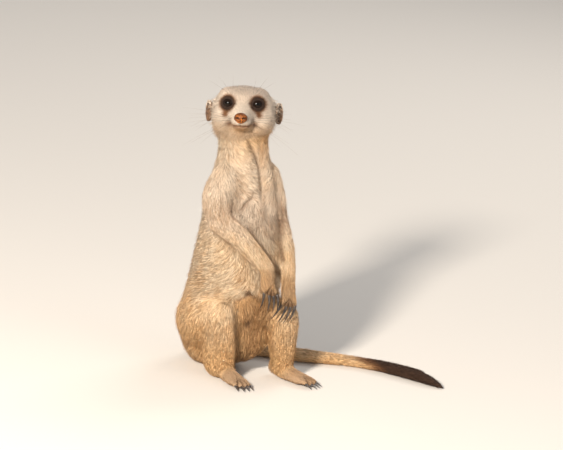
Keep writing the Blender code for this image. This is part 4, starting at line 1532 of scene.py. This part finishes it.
def whisker_tree():
    tree, graph, given = tree_with("grow whiskers", {
        "Thickness": "NodeSocketFloat", "Droop": "NodeSocketFloat",
        "Look": "NodeSocketMaterial",
    })
    spike = graph.put("GeometryNodeMeshCone", {"fill_type": "NGON"}, {
        "Vertices": 4, "Side Segments": 10, "Fill Segments": 1,
        "Radius Top": 0.12, "Radius Bottom": 0.5, "Depth": 1.0})["Mesh"]
    place = graph.out("GeometryNodeInputPosition")
    spike = store(graph, spike, "along", graph.parted(place)[2])
    thick, long = given["Thickness"], named(graph, "whisker_length")
    roots = graph.out("GeometryNodeMeshToPoints", Mesh=given["Geometry"])
    turn = turned(graph, arrow_named(graph, "aim"), (0.0, 0.0, 1.0), "X")
    made = set_out(graph, roots, spike, turn, graph.joined(thick, thick, long))
    along = named(graph, "along")
    bow = graph.joined(0.0, 0.0, along * along * long * given["Droop"] * -1)
    made = graph.out("GeometryNodeSetPosition", Geometry=made, Offset=bow)
    finished(graph, made, given["Look"])
    return tree


whisker_look, graph, shader = material("whisker_look", Roughness=0.4)
wire(graph, shader, Base_Color=graph.mix(
    graph.written("along"), (0.05, 0.03, 0.02, 1), (0.22, 0.14, 0.09, 1)))
roots, aims, lengths = [], [], []
dice = np.random.default_rng(5)
for sign in SIDES.values():
    for (forward, out, up), (aim_forward, aim_out, aim_up), long in WHISKERS:
        jitter = dice.normal(0, 0.06, 3)
        roots.append(tuple(on_head(forward, sign * out, up) * MM))
        aims.append(HEAD @ unit(np.array((aim_forward, sign * aim_out, aim_up)) + jitter))
        lengths.append(long * MM * dice.uniform(0.85, 1.1))
root_mesh = bpy.data.meshes.new("whisker_roots")
root_mesh.from_pydata(roots, [], [])
write(root_mesh, "aim", aims)
write(root_mesh, "whisker_length", lengths)
whisker_roots = new_object("whisker_roots", root_mesh)
whiskers = grown("whiskers", whisker_roots, whisker_tree(), Thickness=0.17 * MM, Droop=0.16,
                 Look=whisker_look)
bpy.data.objects.remove(whisker_roots)
pieces_to_ride.append((whiskers, None, "skin_dark"))
print("whiskers:", len(roots), "with", triangles_in(whiskers.data), "triangles")

# %% [markdown]
# ## Floor, light and camera
# A pale, plain floor and three lights: a warm key from the front left, small enough for
# clear shadows, a weak fill from the right and a rim from behind. The camera stands a
# little above the animal and looks slightly down, at the distance of a long lens.

# %% The floor, the lights and the camera
FLOOR_HALF = 12.0
CORNERS = ((-1, -1), (1, -1), (1, 1), (-1, 1))
scene = bpy.context.scene
floor_mesh = bpy.data.meshes.new("floor")
floor_mesh.from_pydata([(x * FLOOR_HALF, y * FLOOR_HALF, 0) for x, y in CORNERS], [], [range(4)])
floor = new_object("floor", floor_mesh)
floor_look, _, _ = material("floor_look", Roughness=0.9, Specular_IOR_Level=0.1,
                            Base_Color=(0.66, 0.62, 0.57, 1))
floor.data.materials.append(floor_look)
floor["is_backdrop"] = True

world = bpy.data.worlds.new("studio")
world.use_nodes = True
air = world.node_tree.nodes["Background"].inputs
air["Color"].default_value = (0.93, 0.95, 1.0, 1)
air["Strength"].default_value = 0.42
scene.world = world
TARGET = Vector((0.0, 0.0, 0.14))
LIGHTS = {
    # name: place, size, watts, colour
    "key": ((-0.86, -2.16, 1.15), 0.28, 145, (1.0, 0.92, 0.82)),
    "fill": ((1.9, -1.2, 0.9), 1.6, 10, (1.0, 0.95, 0.90)),
    "rim": ((0.7, 1.5, 1.5), 0.9, 16, (1.0, 0.97, 0.92)),
}
for name, (place, size, watts, colour) in LIGHTS.items():
    lamp = bpy.data.lights.new(name, "AREA")
    lamp.size, lamp.energy, lamp.color = size, watts, colour
    light = new_object(name, lamp)
    light.location = place
    light.rotation_euler = (TARGET - Vector(place)).to_track_quat("-Z", "Y").to_euler()
scene.view_settings.view_transform = "Standard"
scene.view_settings.exposure = 0.0

ELEVATION, ROLL = math.radians(14), math.radians(7)
CAMERA_AWAY, SENSOR, VIEW_WIDTH = 3.5, 36.0, 0.5067
AIM_RIGHT, AIM_UP = 37.35, 139.5  # where the camera aims, from the frames' zero
level_right = np.array((1.0, 0, 0))
level_up = np.array((0, math.sin(ELEVATION), math.cos(ELEVATION)))
look_way = np.array((0, math.cos(ELEVATION), -math.sin(ELEVATION)))
right = math.cos(ROLL) * level_right + math.sin(ROLL) * level_up
up = math.cos(ROLL) * level_up - math.sin(ROLL) * level_right
eye_place = (SHIFT + AIM_RIGHT * right + AIM_UP * up) * MM - look_way * CAMERA_AWAY
lens = bpy.data.cameras.new("camera")
lens.sensor_width = SENSOR
lens.lens = SENSOR * CAMERA_AWAY / VIEW_WIDTH
lens.clip_end = 60
camera = new_object("camera", lens)
camera.matrix_world = Matrix(np.vstack((
    np.column_stack((right, up, -look_way, eye_place)), (0, 0, 0, 1))))
scene.camera = camera
print("lights:", list(LIGHTS), "- the camera stands at", np.round(eye_place, 2), "m")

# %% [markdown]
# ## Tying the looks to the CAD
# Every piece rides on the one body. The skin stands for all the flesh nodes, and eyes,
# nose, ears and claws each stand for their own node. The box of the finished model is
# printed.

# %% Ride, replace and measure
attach(skin, "root")
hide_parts(*FLESH)
for coat in coats:
    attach(coat, "root")
for made, node, slot in pieces_to_ride:
    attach(made, "root")
    if node:
        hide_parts(node)
low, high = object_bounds()
print("looks box", [round(v / MM, 1) for v in (*low, *high)])
